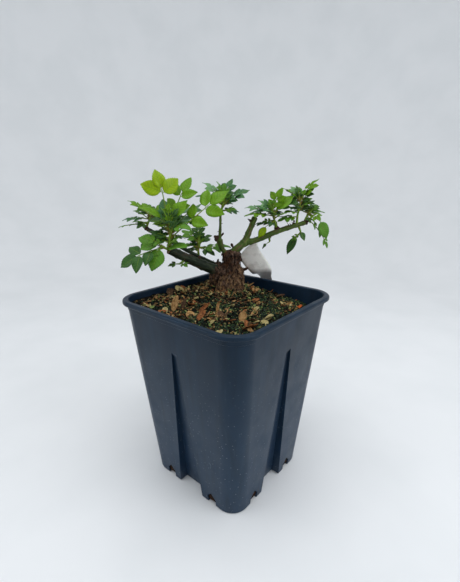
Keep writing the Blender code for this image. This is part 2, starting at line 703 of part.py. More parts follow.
def leaf_fits(base, leaf, blockers, neighbours):
    """Say whether a leaf is clear of the blockers, and its leaflets of the neighbours."""
    parts = leaf_parts(base, leaf, swell=GAP)
    clear = not any(touches(part, blockers) for part in parts)
    clear = clear and not any(touches(part, neighbours) for part in parts[1:])
    for part in parts:
        part.free()
    return clear


def mass_leaves(name, mass):
    """Return every leaf of a mass: its named leaves and its seeded fill."""
    rng = random.Random(name)
    leaves = list(mass.leaves)
    low, high = FILL_HEADING
    heading = rng.uniform(low, high)
    for index in range(mass.fill):
        at = blend(0.3, 1.0, (index + 1) / mass.fill)
        length = rng.uniform(*FILL_LENGTH)
        leaves.append(Leaf(at, heading, rng.uniform(*FILL_RISE), length, droop=25))
        heading = low + (heading + FILL_TURN - low) % (high - low)
    return leaves


def stem_ends(mass):
    """Return where a mass's stem starts, just clear of its cane, and where it ends."""
    place, along, radius = cane_point(mass.cane, mass.at)
    way = direction(mass.heading, mass.rise)
    across = way.cross(along).length
    if mass.at >= 1.0:
        start = place + along * (1.3 * GAP + STEM_RADIUS * across)
    else:
        start = place + way * ((radius + GAP) / across + STEM_RADIUS * 0.2)
    return start, start + way * mass.length


def make_mass(name, mass, material, blockers):
    """Build one mass of foliage: its stem and, fused to it, the leaves that fit."""
    start, end = stem_ends(mass)
    bm = bmesh.new()
    tube(bm, [(start, STEM_RADIUS), (end, STEM_RADIUS * 0.7)], STEM_SIDES)
    item = new_object(name, bm, material)
    pieces = bpy.data.collections.new(name + "_leaves")
    neighbours = []
    for number, leaf in enumerate(mass_leaves(name, mass)):
        base = start.lerp(end, min(leaf.at, 0.97))
        turned = [leaf._replace(heading=leaf.heading + turn) for turn in LEAF_TRIES]
        room = [spot for spot in turned if leaf_fits(base, spot, blockers, neighbours)]
        if not room:
            continue
        for index, part in enumerate(leaf_parts(base, room[0])):
            if index > 0:
                neighbours.append(BVHTree.FromBMesh(part))
            pieces.objects.link(new_object(f"{name}_{number}_{index}", part))
    fuse(item, pieces)
    return item


def tree_of(item):
    """Return the tree of faces of an object, in world space."""
    bm = bmesh.new()
    bm.from_mesh(item.data)
    tree = BVHTree.FromBMesh(bm)
    bm.free()
    return tree


def main():
    """Build the whole plant, pot first and foliage last."""
    clear_scene()
    plastic = principled("pot_plastic", (0.030, 0.045, 0.070), 0.45)
    earth = principled("soil_and_litter", (0.110, 0.070, 0.035), 0.95)
    bark = principled("old_bark", (0.110, 0.065, 0.040), 0.90)
    cane_bark = principled("cane_bark", (0.110, 0.120, 0.045), 0.60)
    card = principled("label_card", (0.750, 0.760, 0.740), 0.50)
    green = principled("leaf_green", (0.120, 0.330, 0.040), 0.50)

    pot = make_pot(plastic)
    soil = make_soil(earth)
    trunk = make_trunk(bark)
    canes = make_canes(cane_bark, trunk)
    label = make_label(card)
    scatter_litter(soil, [tree_of(pot), tree_of(trunk)])
    blockers = [tree_of(item) for item in (pot, soil, trunk, label, *canes.values())]
    for name, mass in MASSES.items():
        blockers.append(tree_of(make_mass(name, mass, green, blockers)))


main()
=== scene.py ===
"""The looks of a small-flowered rose, cut back hard, in a square nursery pot.

Units are metres and +Z is up. The pot's underside lies on z = 0 and the Z axis runs
up through its middle. Each sub-assembly is a class that holds its sizes, builds its
meshes by bmesh operators and dresses them in finishes named for the real material.
The foliage grows by the same rule as the solids that it stands for, and is carried
on to toothed leaflets, leaf stalks, stipules, buds and prickles.
"""

import logging
import math
import random
from collections.abc import Callable, Iterable, Sequence
from dataclasses import dataclass, replace
from enum import Enum
from functools import cached_property

import bmesh
import bpy
from bmesh.types import BMEdge, BMesh, BMFace, BMVert
from mathutils import Matrix, Vector, noise
from mathutils.bvhtree import BVHTree


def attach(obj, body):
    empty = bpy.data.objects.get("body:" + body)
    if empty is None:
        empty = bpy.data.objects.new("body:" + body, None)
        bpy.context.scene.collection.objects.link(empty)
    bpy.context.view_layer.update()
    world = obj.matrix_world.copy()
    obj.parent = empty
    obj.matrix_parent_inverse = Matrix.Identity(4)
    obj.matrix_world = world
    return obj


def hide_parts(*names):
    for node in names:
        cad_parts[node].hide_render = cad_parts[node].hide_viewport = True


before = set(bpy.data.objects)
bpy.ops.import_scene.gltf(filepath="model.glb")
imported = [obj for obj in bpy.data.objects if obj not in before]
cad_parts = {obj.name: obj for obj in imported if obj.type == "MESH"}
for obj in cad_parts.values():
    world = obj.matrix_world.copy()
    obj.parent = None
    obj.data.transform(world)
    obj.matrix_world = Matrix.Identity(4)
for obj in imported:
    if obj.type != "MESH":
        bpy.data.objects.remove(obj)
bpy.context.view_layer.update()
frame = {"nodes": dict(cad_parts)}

LOG = logging.getLogger("rose")
BODY = "root"
UP = Vector((0.0, 0.0, 1.0))
GAP = 0.0003
VEIN_SCALE = (-0.9, 4.4, 0.0)
DULLED_SHARE = 0.72

Path = list[tuple[Vector, float]]
Ring = Sequence[Vector]
Station = tuple[tuple[float, float, float], float]


# Small sums

def blend(low: float, high: float, share: float) -> float:
    """Return the number a share of the way from low to high."""
    return low + (high - low) * share


def direction(heading: float, rise: float) -> Vector:
    """Return the unit vector at a heading from +X and a rise above the level, in degrees."""
    turn = math.radians(heading)
    tilt = math.radians(rise)
    return Vector((math.cos(turn) * math.cos(tilt), math.sin(turn) * math.cos(tilt), math.sin(tilt)))


def smooth_path(stations: Sequence[Station], steps: int) -> Path:
    """Run a Catmull-Rom curve through the stations.

    Args:
        stations: a place and a radius for each.
        steps: how many steps lie between two stations.

    Returns:
        A list of points with their radii.
    """
    points = [Vector(point) for point, _ in stations]
    radii = [radius for _, radius in stations]
    points = [points[0] * 2 - points[1], *points, points[-1] * 2 - points[-2]]
    path = []
    for index in range(len(radii) - 1):
        before, start, end, after = points[index:index + 4]
        for step in range(steps):
            t = step / steps
            point = 0.5 * (2 * start + (end - before) * t + (2 * before - 5 * start + 4 * end - after) * t ** 2
                           + (3 * start - before - 3 * end + after) * t ** 3)
            path.append((point, blend(radii[index], radii[index + 1], t)))
    path.append((points[-2], radii[-1]))
    return path


def tube_rings(path: Path, sides: int) -> list[list[Vector]]:
    """Return rings of points round a path, carried along it without twist."""
    points = [point for point, _ in path]
    side = (points[1] - points[0]).normalized().orthogonal().normalized()
    rings = []
    for index, (point, radius) in enumerate(path):
        ahead = points[min(index + 1, len(points) - 1)]
        behind = points[max(index - 1, 0)]
        tangent = (ahead - behind).normalized()
        side = (side - tangent * side.dot(tangent)).normalized()
        other = tangent.cross(side)
        turns = [2 * math.pi * step / sides for step in range(sides)]
        rings.append([point + (side * math.cos(turn) + other * math.sin(turn)) * radius for turn in turns])
    return rings


def grain(point: Vector, size: float, seed: float = 0.0) -> float:
    """Return smooth noise from -1 to 1 whose lumps are about a size across."""
    return noise.noise(point / size + Vector((seed, seed * 1.7, -seed)))


# Finishes

def hex_to_linear(code: str) -> tuple[float, float, float, float]:
    """Turn an sRGB hex colour such as #3b4755 into a linear one."""
    shares = [int(code[start:start + 2], 16) / 255 for start in (1, 3, 5)]
    linear = [share / 12.92 if share <= 0.04045 else ((share + 0.055) / 1.055) ** 2.4 for share in shares]
    return (linear[0], linear[1], linear[2], 1.0)


def add_node(tree: bpy.types.NodeTree, kind: str, settings: dict | None = None,
             links: dict | None = None) -> bpy.types.Node:
    """Add one node with its settings and links.

    Args:
        tree: the node tree.
        kind: the node's type name.
        settings: values by the name of a property or an input, or by an input's number.
        links: the sockets that feed the inputs, by name or number.

    Returns:
        The new node.
    """
    node = tree.nodes.new(kind)
    for name, value in (settings or {}).items():
        if isinstance(name, str) and hasattr(node, name):
            setattr(node, name, value)
        else:
            node.inputs[name].default_value = value
    for name, source in (links or {}).items():
        tree.links.new(source, node.inputs[name])
    return node


class Layout(Enum):
    """What a pattern is laid out on: the object's own space or the map along a piece."""

    OBJECT = "object"
    ALONG = "along"


class Pattern(Enum):
    """How a layer or a relief is broken up."""

    CLOUDS = "ShaderNodeTexNoise"
    CELLS = "ShaderNodeTexVoronoi"
    VEINS = "ShaderNodeTexWave"


@dataclass(frozen=True)
class Layer:
    """A second colour over a base, in patches of a real size.

    Attributes:
        colour: its sRGB hex.
        grain_mm: how large the patches are.
        cover: the pattern values at which it starts and is full.
        strength: how much of it shows where it is full.
        stretch: how many times longer the patches are along each axis.
        pattern: how it is broken up.
        band: heights in metres between which it fades in, or None.
    """

    colour: str
    grain_mm: float
    cover: tuple[float, float] = (0.45, 0.60)
    strength: float = 1.0
    stretch: tuple[float, float, float] = (1.0, 1.0, 1.0)
    pattern: Pattern = Pattern.CLOUDS
    detail: float = 3.0
    band: tuple[float, float] | None = None


@dataclass(frozen=True)
class Relief:
    """A fine unevenness: its height, the size of its grain and its stretch."""

    height_mm: float
    grain_mm: float
    stretch: tuple[float, float, float] = (1.0, 1.0, 1.0)
    pattern: Pattern = Pattern.CLOUDS
    detail: float = 3.0


@dataclass(frozen=True)
class Finish:
    """A real surface, built as one Principled material.

    Attributes:
        name: the real material and how its surface was made.
        base: its main colour as an sRGB hex.
        roughness: its mean roughness.
        spread: how far the roughness wanders either way.
        spread_mm: over what distance it wanders.
        layers: further colours over the base.
        reliefs: unevenness, coarse first.
        layout: what its patterns are laid out on.
        gloss: the strength of its mirror sheen, as the shader's specular level.
        dulled: heights in metres between which a part of the sheen is lost, or None.
        sockets: constants set on the shader's own sockets.
    """

    name: str
    base: str
    roughness: float
    spread: float = 0.06
    spread_mm: float = 6.0
    layers: tuple[Layer, ...] = ()
    reliefs: tuple[Relief, ...] = ()
    layout: Layout = Layout.OBJECT
    gloss: float = 0.22
    dulled: tuple[float, float] | None = None
    sockets: tuple[tuple[str, float | tuple[float, ...]], ...] = ()

    def material(self) -> bpy.types.Material:
        """Return this finish's material, built on first use."""
        made = bpy.data.materials.get(self.name)
        return made or self._build()

    def _build(self) -> bpy.types.Material:
        """Build the shader, its colour layers, its roughness and its reliefs."""
        material = bpy.data.materials.new(self.name)
        material.use_nodes = True
        tree = material.node_tree
        shader = tree.nodes["Principled BSDF"]
        shader.inputs["Base Color"].default_value = hex_to_linear(self.base)
        shader.inputs["Roughness"].default_value = self.roughness
        shader.inputs["Specular IOR Level"].default_value = self.gloss
        for socket, value in self.sockets:
            shader.inputs[socket].default_value = value
        if self.dulled is not None:
            reach = {"From Min": self.dulled[0], "From Max": self.dulled[1], "To Min": self.gloss,
                     "To Max": self.gloss * DULLED_SHARE}
            sheen = add_node(tree, "ShaderNodeMapRange", reach, {"Value": self._height(tree)})
            tree.links.new(sheen.outputs["Result"], shader.inputs["Specular IOR Level"])
        if self.layout is Layout.ALONG:
            place = add_node(tree, "ShaderNodeUVMap", {"uv_map": Layout.ALONG.value}).outputs["UV"]
        else:
            place = add_node(tree, "ShaderNodeTexCoord").outputs["Object"]
        colour = None
        for layer in self.layers:
            mask = self._mask(tree, place, layer)
            colours = {7: hex_to_linear(layer.colour)}
            feeds = {0: mask}
            if colour is None:
                colours[6] = hex_to_linear(self.base)
            else:
                feeds[6] = colour
            colour = add_node(tree, "ShaderNodeMix", {"data_type": "RGBA", **colours}, feeds).outputs[2]
        if colour is not None:
            tree.links.new(colour, shader.inputs["Base Color"])
        if self.spread:
            wander = self._sample(tree, place, Pattern.CLOUDS, self.spread_mm, (1.0, 1.0, 1.0), 2.0)
            reach = {"From Min": 0.3, "From Max": 0.7, "To Min": self.roughness - self.spread,
                     "To Max": self.roughness + self.spread}
            rough = add_node(tree, "ShaderNodeMapRange", reach, {"Value": wander})
            tree.links.new(rough.outputs["Result"], shader.inputs["Roughness"])
        normal = None
        for relief in self.reliefs:
            height = self._sample(tree, place, relief.pattern, relief.grain_mm, relief.stretch, relief.detail)
            feeds = {"Height": height} if normal is None else {"Height": height, "Normal": normal}
            bump = add_node(tree, "ShaderNodeBump", {"Distance": relief.height_mm / 1000, "Strength": 1.0}, feeds)
            normal = bump.outputs["Normal"]
        if normal is not None:
            tree.links.new(normal, shader.inputs["Normal"])
        return material

    def _height(self, tree: bpy.types.NodeTree) -> bpy.types.NodeSocket:
        """Return the socket that gives the height in metres."""
        where = add_node(tree, "ShaderNodeTexCoord").outputs["Object"]
        return add_node(tree, "ShaderNodeSeparateXYZ", {}, {"Vector": where}).outputs["Z"]

    def _mask(self, tree: bpy.types.NodeTree, place: bpy.types.NodeSocket, layer: Layer) -> bpy.types.NodeSocket:
        """Return the socket that says how much of a layer shows."""
        value = self._sample(tree, place, layer.pattern, layer.grain_mm, layer.stretch, layer.detail)
        reach = {"From Min": layer.cover[0], "From Max": layer.cover[1], "To Min": 0.0, "To Max": layer.strength}
        mask = add_node(tree, "ShaderNodeMapRange", reach, {"Value": value}).outputs["Result"]
        if layer.band is None:
            return mask
        height = self._height(tree)
        reach = {"From Min": layer.band[0], "From Max": layer.band[1], "To Min": 0.0, "To Max": 1.0}
        share = add_node(tree, "ShaderNodeMapRange", reach, {"Value": height}).outputs["Result"]
        return add_node(tree, "ShaderNodeMath", {"operation": "MULTIPLY"}, {0: mask, 1: share}).outputs[0]

    def _veins(self, tree: bpy.types.NodeTree) -> bpy.types.NodeSocket:
        """Return a socket that nears 1 along a blade's side veins, which lean towards its tip."""
        along = add_node(tree, "ShaderNodeUVMap", {"uv_map": Layout.ALONG.value}).outputs["UV"]
        folded = add_node(tree, "ShaderNodeVectorMath", {"operation": "ABSOLUTE"}, {0: along}).outputs[0]
        mapping = add_node(tree, "ShaderNodeMapping", {"Scale": VEIN_SCALE}, {"Vector": folded})
        settings = {"bands_direction": "DIAGONAL", "Scale": 1.0, "Distortion": 1.2, "Detail": 1.0}
        return add_node(tree, Pattern.VEINS.value, settings, {"Vector": mapping.outputs["Vector"]}).outputs["Fac"]

    def _sample(self, tree: bpy.types.NodeTree, place: bpy.types.NodeSocket, pattern: Pattern, grain_mm: float,
                stretch: tuple[float, float, float], detail: float) -> bpy.types.NodeSocket:
        """Return a pattern's value socket, its patches a real size across."""
        if pattern is Pattern.VEINS:
            return self._veins(tree)
        scale = tuple(1000.0 / (grain_mm * share) for share in stretch)
        mapping = add_node(tree, "ShaderNodeMapping", {"Scale": scale}, {"Vector": place})
        settings = {"Scale": 1.0}
        if pattern is Pattern.CLOUDS:
            settings["Detail"] = detail
        texture = add_node(tree, pattern.value, settings, {"Vector": mapping.outputs["Vector"]})
        return texture.outputs[0]


# Polypropylene with recycled black and blue pigment, moulded against a spark-eroded
# steel tool: a satin slate blue with faint draw lines, lime dust and rubbed patches,
# made lighter towards the foot by painted light, with a blue tint painted into its sheen.
MOULDED_POLYPROPYLENE = Finish(
    "moulded_polypropylene", "#0c1e30", 0.38, spread=0.08, spread_mm=24.0,
    layers=(
        # Painted light: this layer makes the wall lighter towards its foot.
        Layer("#182f47", 60.0, (0.0, 0.1), 0.9, band=(0.19, 0.05)),
        Layer("#152c41", 30.0, (0.40, 0.66), 0.55, stretch=(1.0, 1.0, 4.0)),
        Layer("#0a1826", 7.0, (0.50, 0.72), 0.45, stretch=(1.0, 1.0, 22.0)),
        Layer("#394959", 3.2, (0.62, 0.82), 0.30, stretch=(1.0, 1.0, 14.0)),
        Layer("#66737e", 1.3, (0.64, 0.80), 0.30, band=(0.17, 0.02)),
        Layer("#939da5", 4.5, (0.16, 0.08), 0.40, pattern=Pattern.CELLS, band=(0.21, 0.08)),
    ),
    reliefs=(Relief(0.10, 16.0, (1.0, 1.0, 2.5)), Relief(0.016, 0.7)),
    # Painted reflection: the blue specular tint colours the sheen.
    gloss=0.31, dulled=(0.10, 0.215), sockets=(("Specular Tint", (0.86, 0.98, 1.0, 1.0)),),
)
# Peat and composted bark seen between the litter, matt and crumbly; its near-black is partly painted shade, the dark of
# the gaps between the litter.
PEAT_AND_SHADE = Finish(
    "damp_peat_and_painted_shade", "#0c0b0a", 0.95, spread=0.03,
    layers=(Layer("#1e1811", 2.4, (0.45, 0.62), 0.8), Layer("#0d1411", 9.0, (0.44, 0.58), 0.8),
            Layer("#45352a", 1.1, (0.63, 0.70), 0.6)),
    reliefs=(Relief(0.6, 2.0), Relief(0.3, 0.7)), gloss=0.06,
)
# The block of fibre and peat that shows brown through the drain notches; its dark brown is partly painted shade, the
# dark inside the notches.
ROOT_BALL = Finish(
    "peat_root_ball", "#2c1f17", 0.95, spread=0.03,
    layers=(Layer("#5c3f2c", 3.5, (0.50, 0.62), 0.8), Layer("#15100c", 1.6, (0.50, 0.64), 0.8)),
    reliefs=(Relief(0.6, 2.2), Relief(0.3, 0.8)), gloss=0.12,
)
# Bark chips, weathered brown and rough where they split.
BARK_CHIP = Finish(
    "composted_bark_chip", "#43301f", 0.9, spread=0.05,
    layers=(Layer("#6b5034", 1.6, (0.46, 0.62), 0.8), Layer("#1b140e", 1.0, (0.56, 0.66), 0.8)),
    reliefs=(Relief(0.2, 0.8),), gloss=0.15,
)
# Dry straw-coloured flakes and bud scales, the palest grains on the soil.
STRAW_FLAKE = Finish(
    "dry_straw_flake", "#a29360", 0.8, spread=0.05,
    layers=(Layer("#c6ba90", 1.4, (0.50, 0.66), 0.8), Layer("#665a34", 1.1, (0.54, 0.66), 0.8)),
    reliefs=(Relief(0.1, 0.6),),
)
# Cushion moss, deep green below with paler growing tips.
MOSS = Finish(
    "cushion_moss", "#152817", 0.9, spread=0.03,
    layers=(Layer("#35532a", 1.8, (0.50, 0.64), 0.8), Layer("#08110b", 1.2, (0.52, 0.62), 0.85)),
    reliefs=(Relief(0.3, 0.5),), gloss=0.12, sockets=(("Sheen Weight", 0.10),),
)
MOSS_TIP = Finish(
    "moss_tip", "#74844a", 0.85, spread=0.03,
    layers=(Layer("#a3a566", 1.0, (0.52, 0.66), 0.8), Layer("#3f5b2a", 1.4, (0.50, 0.64), 0.8)),
)
# Fallen rose leaves, dried and curled: papery, with darker veins and burnt edges.
DRY_TAN = Finish(
    "dry_leaf_tan", "#a37e50", 0.75, spread=0.08,
    layers=(Layer("#6c4c25", 3.0, (0.46, 0.60), 0.8), Layer("#bb9a68", 2.0, (0.56, 0.70), 0.7),
            Layer("#402a15", 0.9, (0.61, 0.69), 0.7)),
    reliefs=(Relief(0.12, 1.3), Relief(0.05, 0.4)),
)
DRY_RUSSET = Finish(
    "dry_leaf_russet", "#86512a", 0.72, spread=0.08,
    layers=(Layer("#552f18", 2.6, (0.46, 0.62), 0.8), Layer("#b17c4b", 2.0, (0.56, 0.68), 0.7)),
    reliefs=(Relief(0.12, 1.3), Relief(0.05, 0.4)),
)
DRY_BROWN = Finish(
    "dry_leaf_brown", "#4c3523", 0.8, spread=0.08,
    layers=(Layer("#2c1e14", 2.4, (0.46, 0.62), 0.8), Layer("#79603f", 1.7, (0.56, 0.68), 0.7)),
    reliefs=(Relief(0.12, 1.3), Relief(0.05, 0.4)),
)
DRY_ORANGE = Finish(
    "dry_leaf_orange", "#c05a24", 0.7, spread=0.08,
    layers=(Layer("#8f3f18", 2.0, (0.48, 0.64), 0.7),), reliefs=(Relief(0.1, 1.0),),
)
# Old rose wood at the graft: corky bark in flaking ridges, grey brown over red brown,
# tan towards the foot where it rubs off.
OLD_BARK = Finish(
    "corky_rose_bark", "#43332b", 0.92, spread=0.05,
    layers=(Layer("#140e0c", 2.6, (0.44, 0.56), 0.9, stretch=(1.0, 1.0, 2.5)),
            Layer("#7a6659", 2.2, (0.55, 0.68), 0.7, stretch=(1.0, 1.0, 4.0)),
            Layer("#5a3a29", 6.0, (0.52, 0.64), 0.7),
            Layer("#93765a", 0.9, (0.60, 0.70), 0.7, stretch=(1.0, 1.0, 4.0)),
            Layer("#a5825a", 2.4, (0.50, 0.64), 0.75, stretch=(1.0, 1.0, 2.0), band=(0.246, 0.230))),
    reliefs=(Relief(1.3, 2.4, (1.0, 1.0, 2.5)), Relief(0.4, 0.6, (1.0, 1.0, 2.0))), gloss=0.08,
)
# Bast fibres that peel off the stump's foot, straw to tan.
BAST_FIBRE = Finish(
    "peeling_bast_fibre", "#6f5540", 0.88, spread=0.05,
    layers=(Layer("#9c8059", 1.5, (0.54, 0.66), 0.8), Layer("#392b20", 1.8, (0.46, 0.60), 0.8)),
    reliefs=(Relief(0.08, 0.4),), gloss=0.15,
)
# Two-year canes in the shade: dark green rind going grey brown with cork.
DARK_RIND = Finish(
    "ageing_cane_rind", "#1f281d", 0.6, spread=0.10, spread_mm=4.0, layout=Layout.ALONG,
    layers=(Layer("#3a4430", 3.0, (0.46, 0.62), 0.7, stretch=(1.0, 4.0, 1.0)),
            Layer("#141a13", 1.4, (0.50, 0.62), 0.7, stretch=(1.0, 6.0, 1.0)),
            Layer("#46382b", 7.0, (0.54, 0.66), 0.6, stretch=(1.0, 2.0, 1.0)),
            Layer("#66664f", 0.8, (0.66, 0.74), 0.5)),
    reliefs=(Relief(0.16, 1.2, (1.0, 6.0, 1.0)), Relief(0.05, 0.5)), gloss=0.16,
)
# Last year's canes in the light: smooth olive rind with brown cork streaks.
OLIVE_RIND = Finish(
    "olive_cane_rind", "#3f531f", 0.5, spread=0.10, spread_mm=4.0, layout=Layout.ALONG,
    layers=(Layer("#617831", 3.2, (0.48, 0.64), 0.7, stretch=(1.0, 5.0, 1.0)),
            Layer("#5a462d", 5.0, (0.52, 0.60), 0.8, stretch=(1.0, 3.0, 1.0)),
            Layer("#2b361d", 1.3, (0.52, 0.62), 0.8, stretch=(1.0, 6.0, 1.0)),
            Layer("#8a8260", 0.7, (0.66, 0.74), 0.5)),
    reliefs=(Relief(0.12, 1.1, (1.0, 6.0, 1.0)), Relief(0.04, 0.5)), gloss=0.16,
)
# Secateur cuts, dried: tan wood round a browner pith.
CUT_WOOD = Finish(
    "dried_pruning_cut", "#7c5e3d", 0.85, spread=0.04,
    layers=(Layer("#4c3521", 0.9, (0.50, 0.62), 0.8), Layer("#a78b62", 1.4, (0.54, 0.66), 0.6)),
    reliefs=(Relief(0.1, 0.6),),
)
# Dead knots, bud scales and dry prickles: dark red brown and slightly polished.
DRY_KNOT = Finish(
    "dry_knot_bark", "#3d2820", 0.75, spread=0.06,
    layers=(Layer("#1f1410", 1.2, (0.46, 0.60), 0.8), Layer("#6f523a", 1.0, (0.58, 0.70), 0.7)),
    reliefs=(Relief(0.15, 0.7),),
)
PRICKLE = Finish(
    "woody_prickle", "#4c342a", 0.5, spread=0.06, spread_mm=1.5,
    layers=(Layer("#7b5a42", 1.0, (0.50, 0.64), 0.7), Layer("#281b16", 0.8, (0.54, 0.64), 0.6)),
)
# This year's soft stems and leaf stalks: waxy green, flushed red on the light side.
GREEN_STALK = Finish(
    "soft_green_stalk", "#62801f", 0.45, spread=0.05,
    layers=(Layer("#7d5230", 9.0, (0.54, 0.66), 0.6), Layer("#89a03c", 4.0, (0.52, 0.66), 0.6)),
    reliefs=(Relief(0.03, 0.4),), sockets=(("Subsurface Weight", 0.05), ("Subsurface Scale", 0.002)),
)
# Polypropylene label film, white pigmented, grey with handling; the dark band low on its tail is painted shade.
LABEL_FILM = Finish(
    "calendered_label_film", "#f0eee8", 0.45, spread=0.08, spread_mm=5.0,
    layers=(Layer("#b3b0a6", 12.0, (0.46, 0.62), 0.5), Layer("#e2e0da", 6.0, (0.50, 0.66), 0.5),
            Layer("#8c877a", 0.9, (0.66, 0.72), 0.5),
            # Painted shade: this band darkens the tail from a little above the rim's height downwards.
            Layer("#42403e", 9.0, (0.0, 0.1), 0.85, band=(0.2400, 0.2330))),
    reliefs=(Relief(0.05, 5.0),), gloss=0.4, sockets=(("Subsurface Weight", 0.05), ("Subsurface Scale", 0.002)),
)
# A seamless sheet of pale cool paper under and behind the pot.
SEAMLESS_PAPER = Finish(
    "seamless_paper", "#e5e7e9", 0.9, spread=0.02, spread_mm=60.0,
    layers=(Layer("#dcdfe1", 160.0, (0.40, 0.65), 0.5),), reliefs=(Relief(0.05, 2.0),),
)


def leaf_finish(name: str, base: str, second: str, roughness: float = 0.40) -> Finish:
    """Return a rose leaf's waxy upper skin: one base colour, faintly clouded and pebbled."""
    return Finish(
        "leaf_skin_" + name, base, roughness, spread=0.07, spread_mm=5.0,
        layers=(Layer(second, 6.0, (0.42, 0.66), 0.45), Layer(second, 1.2, (0.52, 0.70), 0.35),
                Layer(second, 1.0, (0.72, 0.98), 0.75, pattern=Pattern.VEINS)),
        reliefs=(Relief(0.05, 1.6), Relief(-0.10, 1.0, pattern=Pattern.VEINS)), gloss=0.20)


def underside_finish(name: str, base: str) -> Finish:
    """Return the paler, duller skin under a leaf, with its net of veins."""
    return Finish(
        "leaf_underside_" + name, base, 0.65, spread=0.04,
        layers=(Layer("#86a070", 1.6, (0.52, 0.66), 0.30),),
        reliefs=(Relief(0.06, 1.4, pattern=Pattern.CELLS),))


class Tint(Enum):
    """The leaf colours, dealt out by leaf: upper skin and underside. The deep tint is partly painted shade, dealt to
    leaves that stand in shade behind others, and the pale tint is painted sheen.
    """

    LIME = (leaf_finish("lime", "#779800", "#8ea404"), underside_finish("lime", "#7f9a26"))
    BRIGHT = (leaf_finish("bright", "#548003", "#668f0d"), underside_finish("bright", "#70943a"))
    GREEN = (leaf_finish("green", "#4a791d", "#5b892b"), underside_finish("green", "#6d904b"))
    # The deep tint: darker leaves, and painted shade on the leaves that stand in shade behind the others.
    DEEP = (leaf_finish("deep", "#2b4f1c", "#3a6229"), underside_finish("deep", "#507545"))
    BLUE = (leaf_finish("blue", "#376236", "#4a774b"), underside_finish("blue", "#638e65"))
    # The pale tint is painted sheen: the sky's pale reflection on blades seen at a glancing angle.
    PALE = (leaf_finish("pale", "#5d8955", "#769b6b"), underside_finish("pale", "#80a17c"))
    YOUNG = (leaf_finish("young", "#66681d", "#805228"), underside_finish("young", "#735132"))


# Making pieces

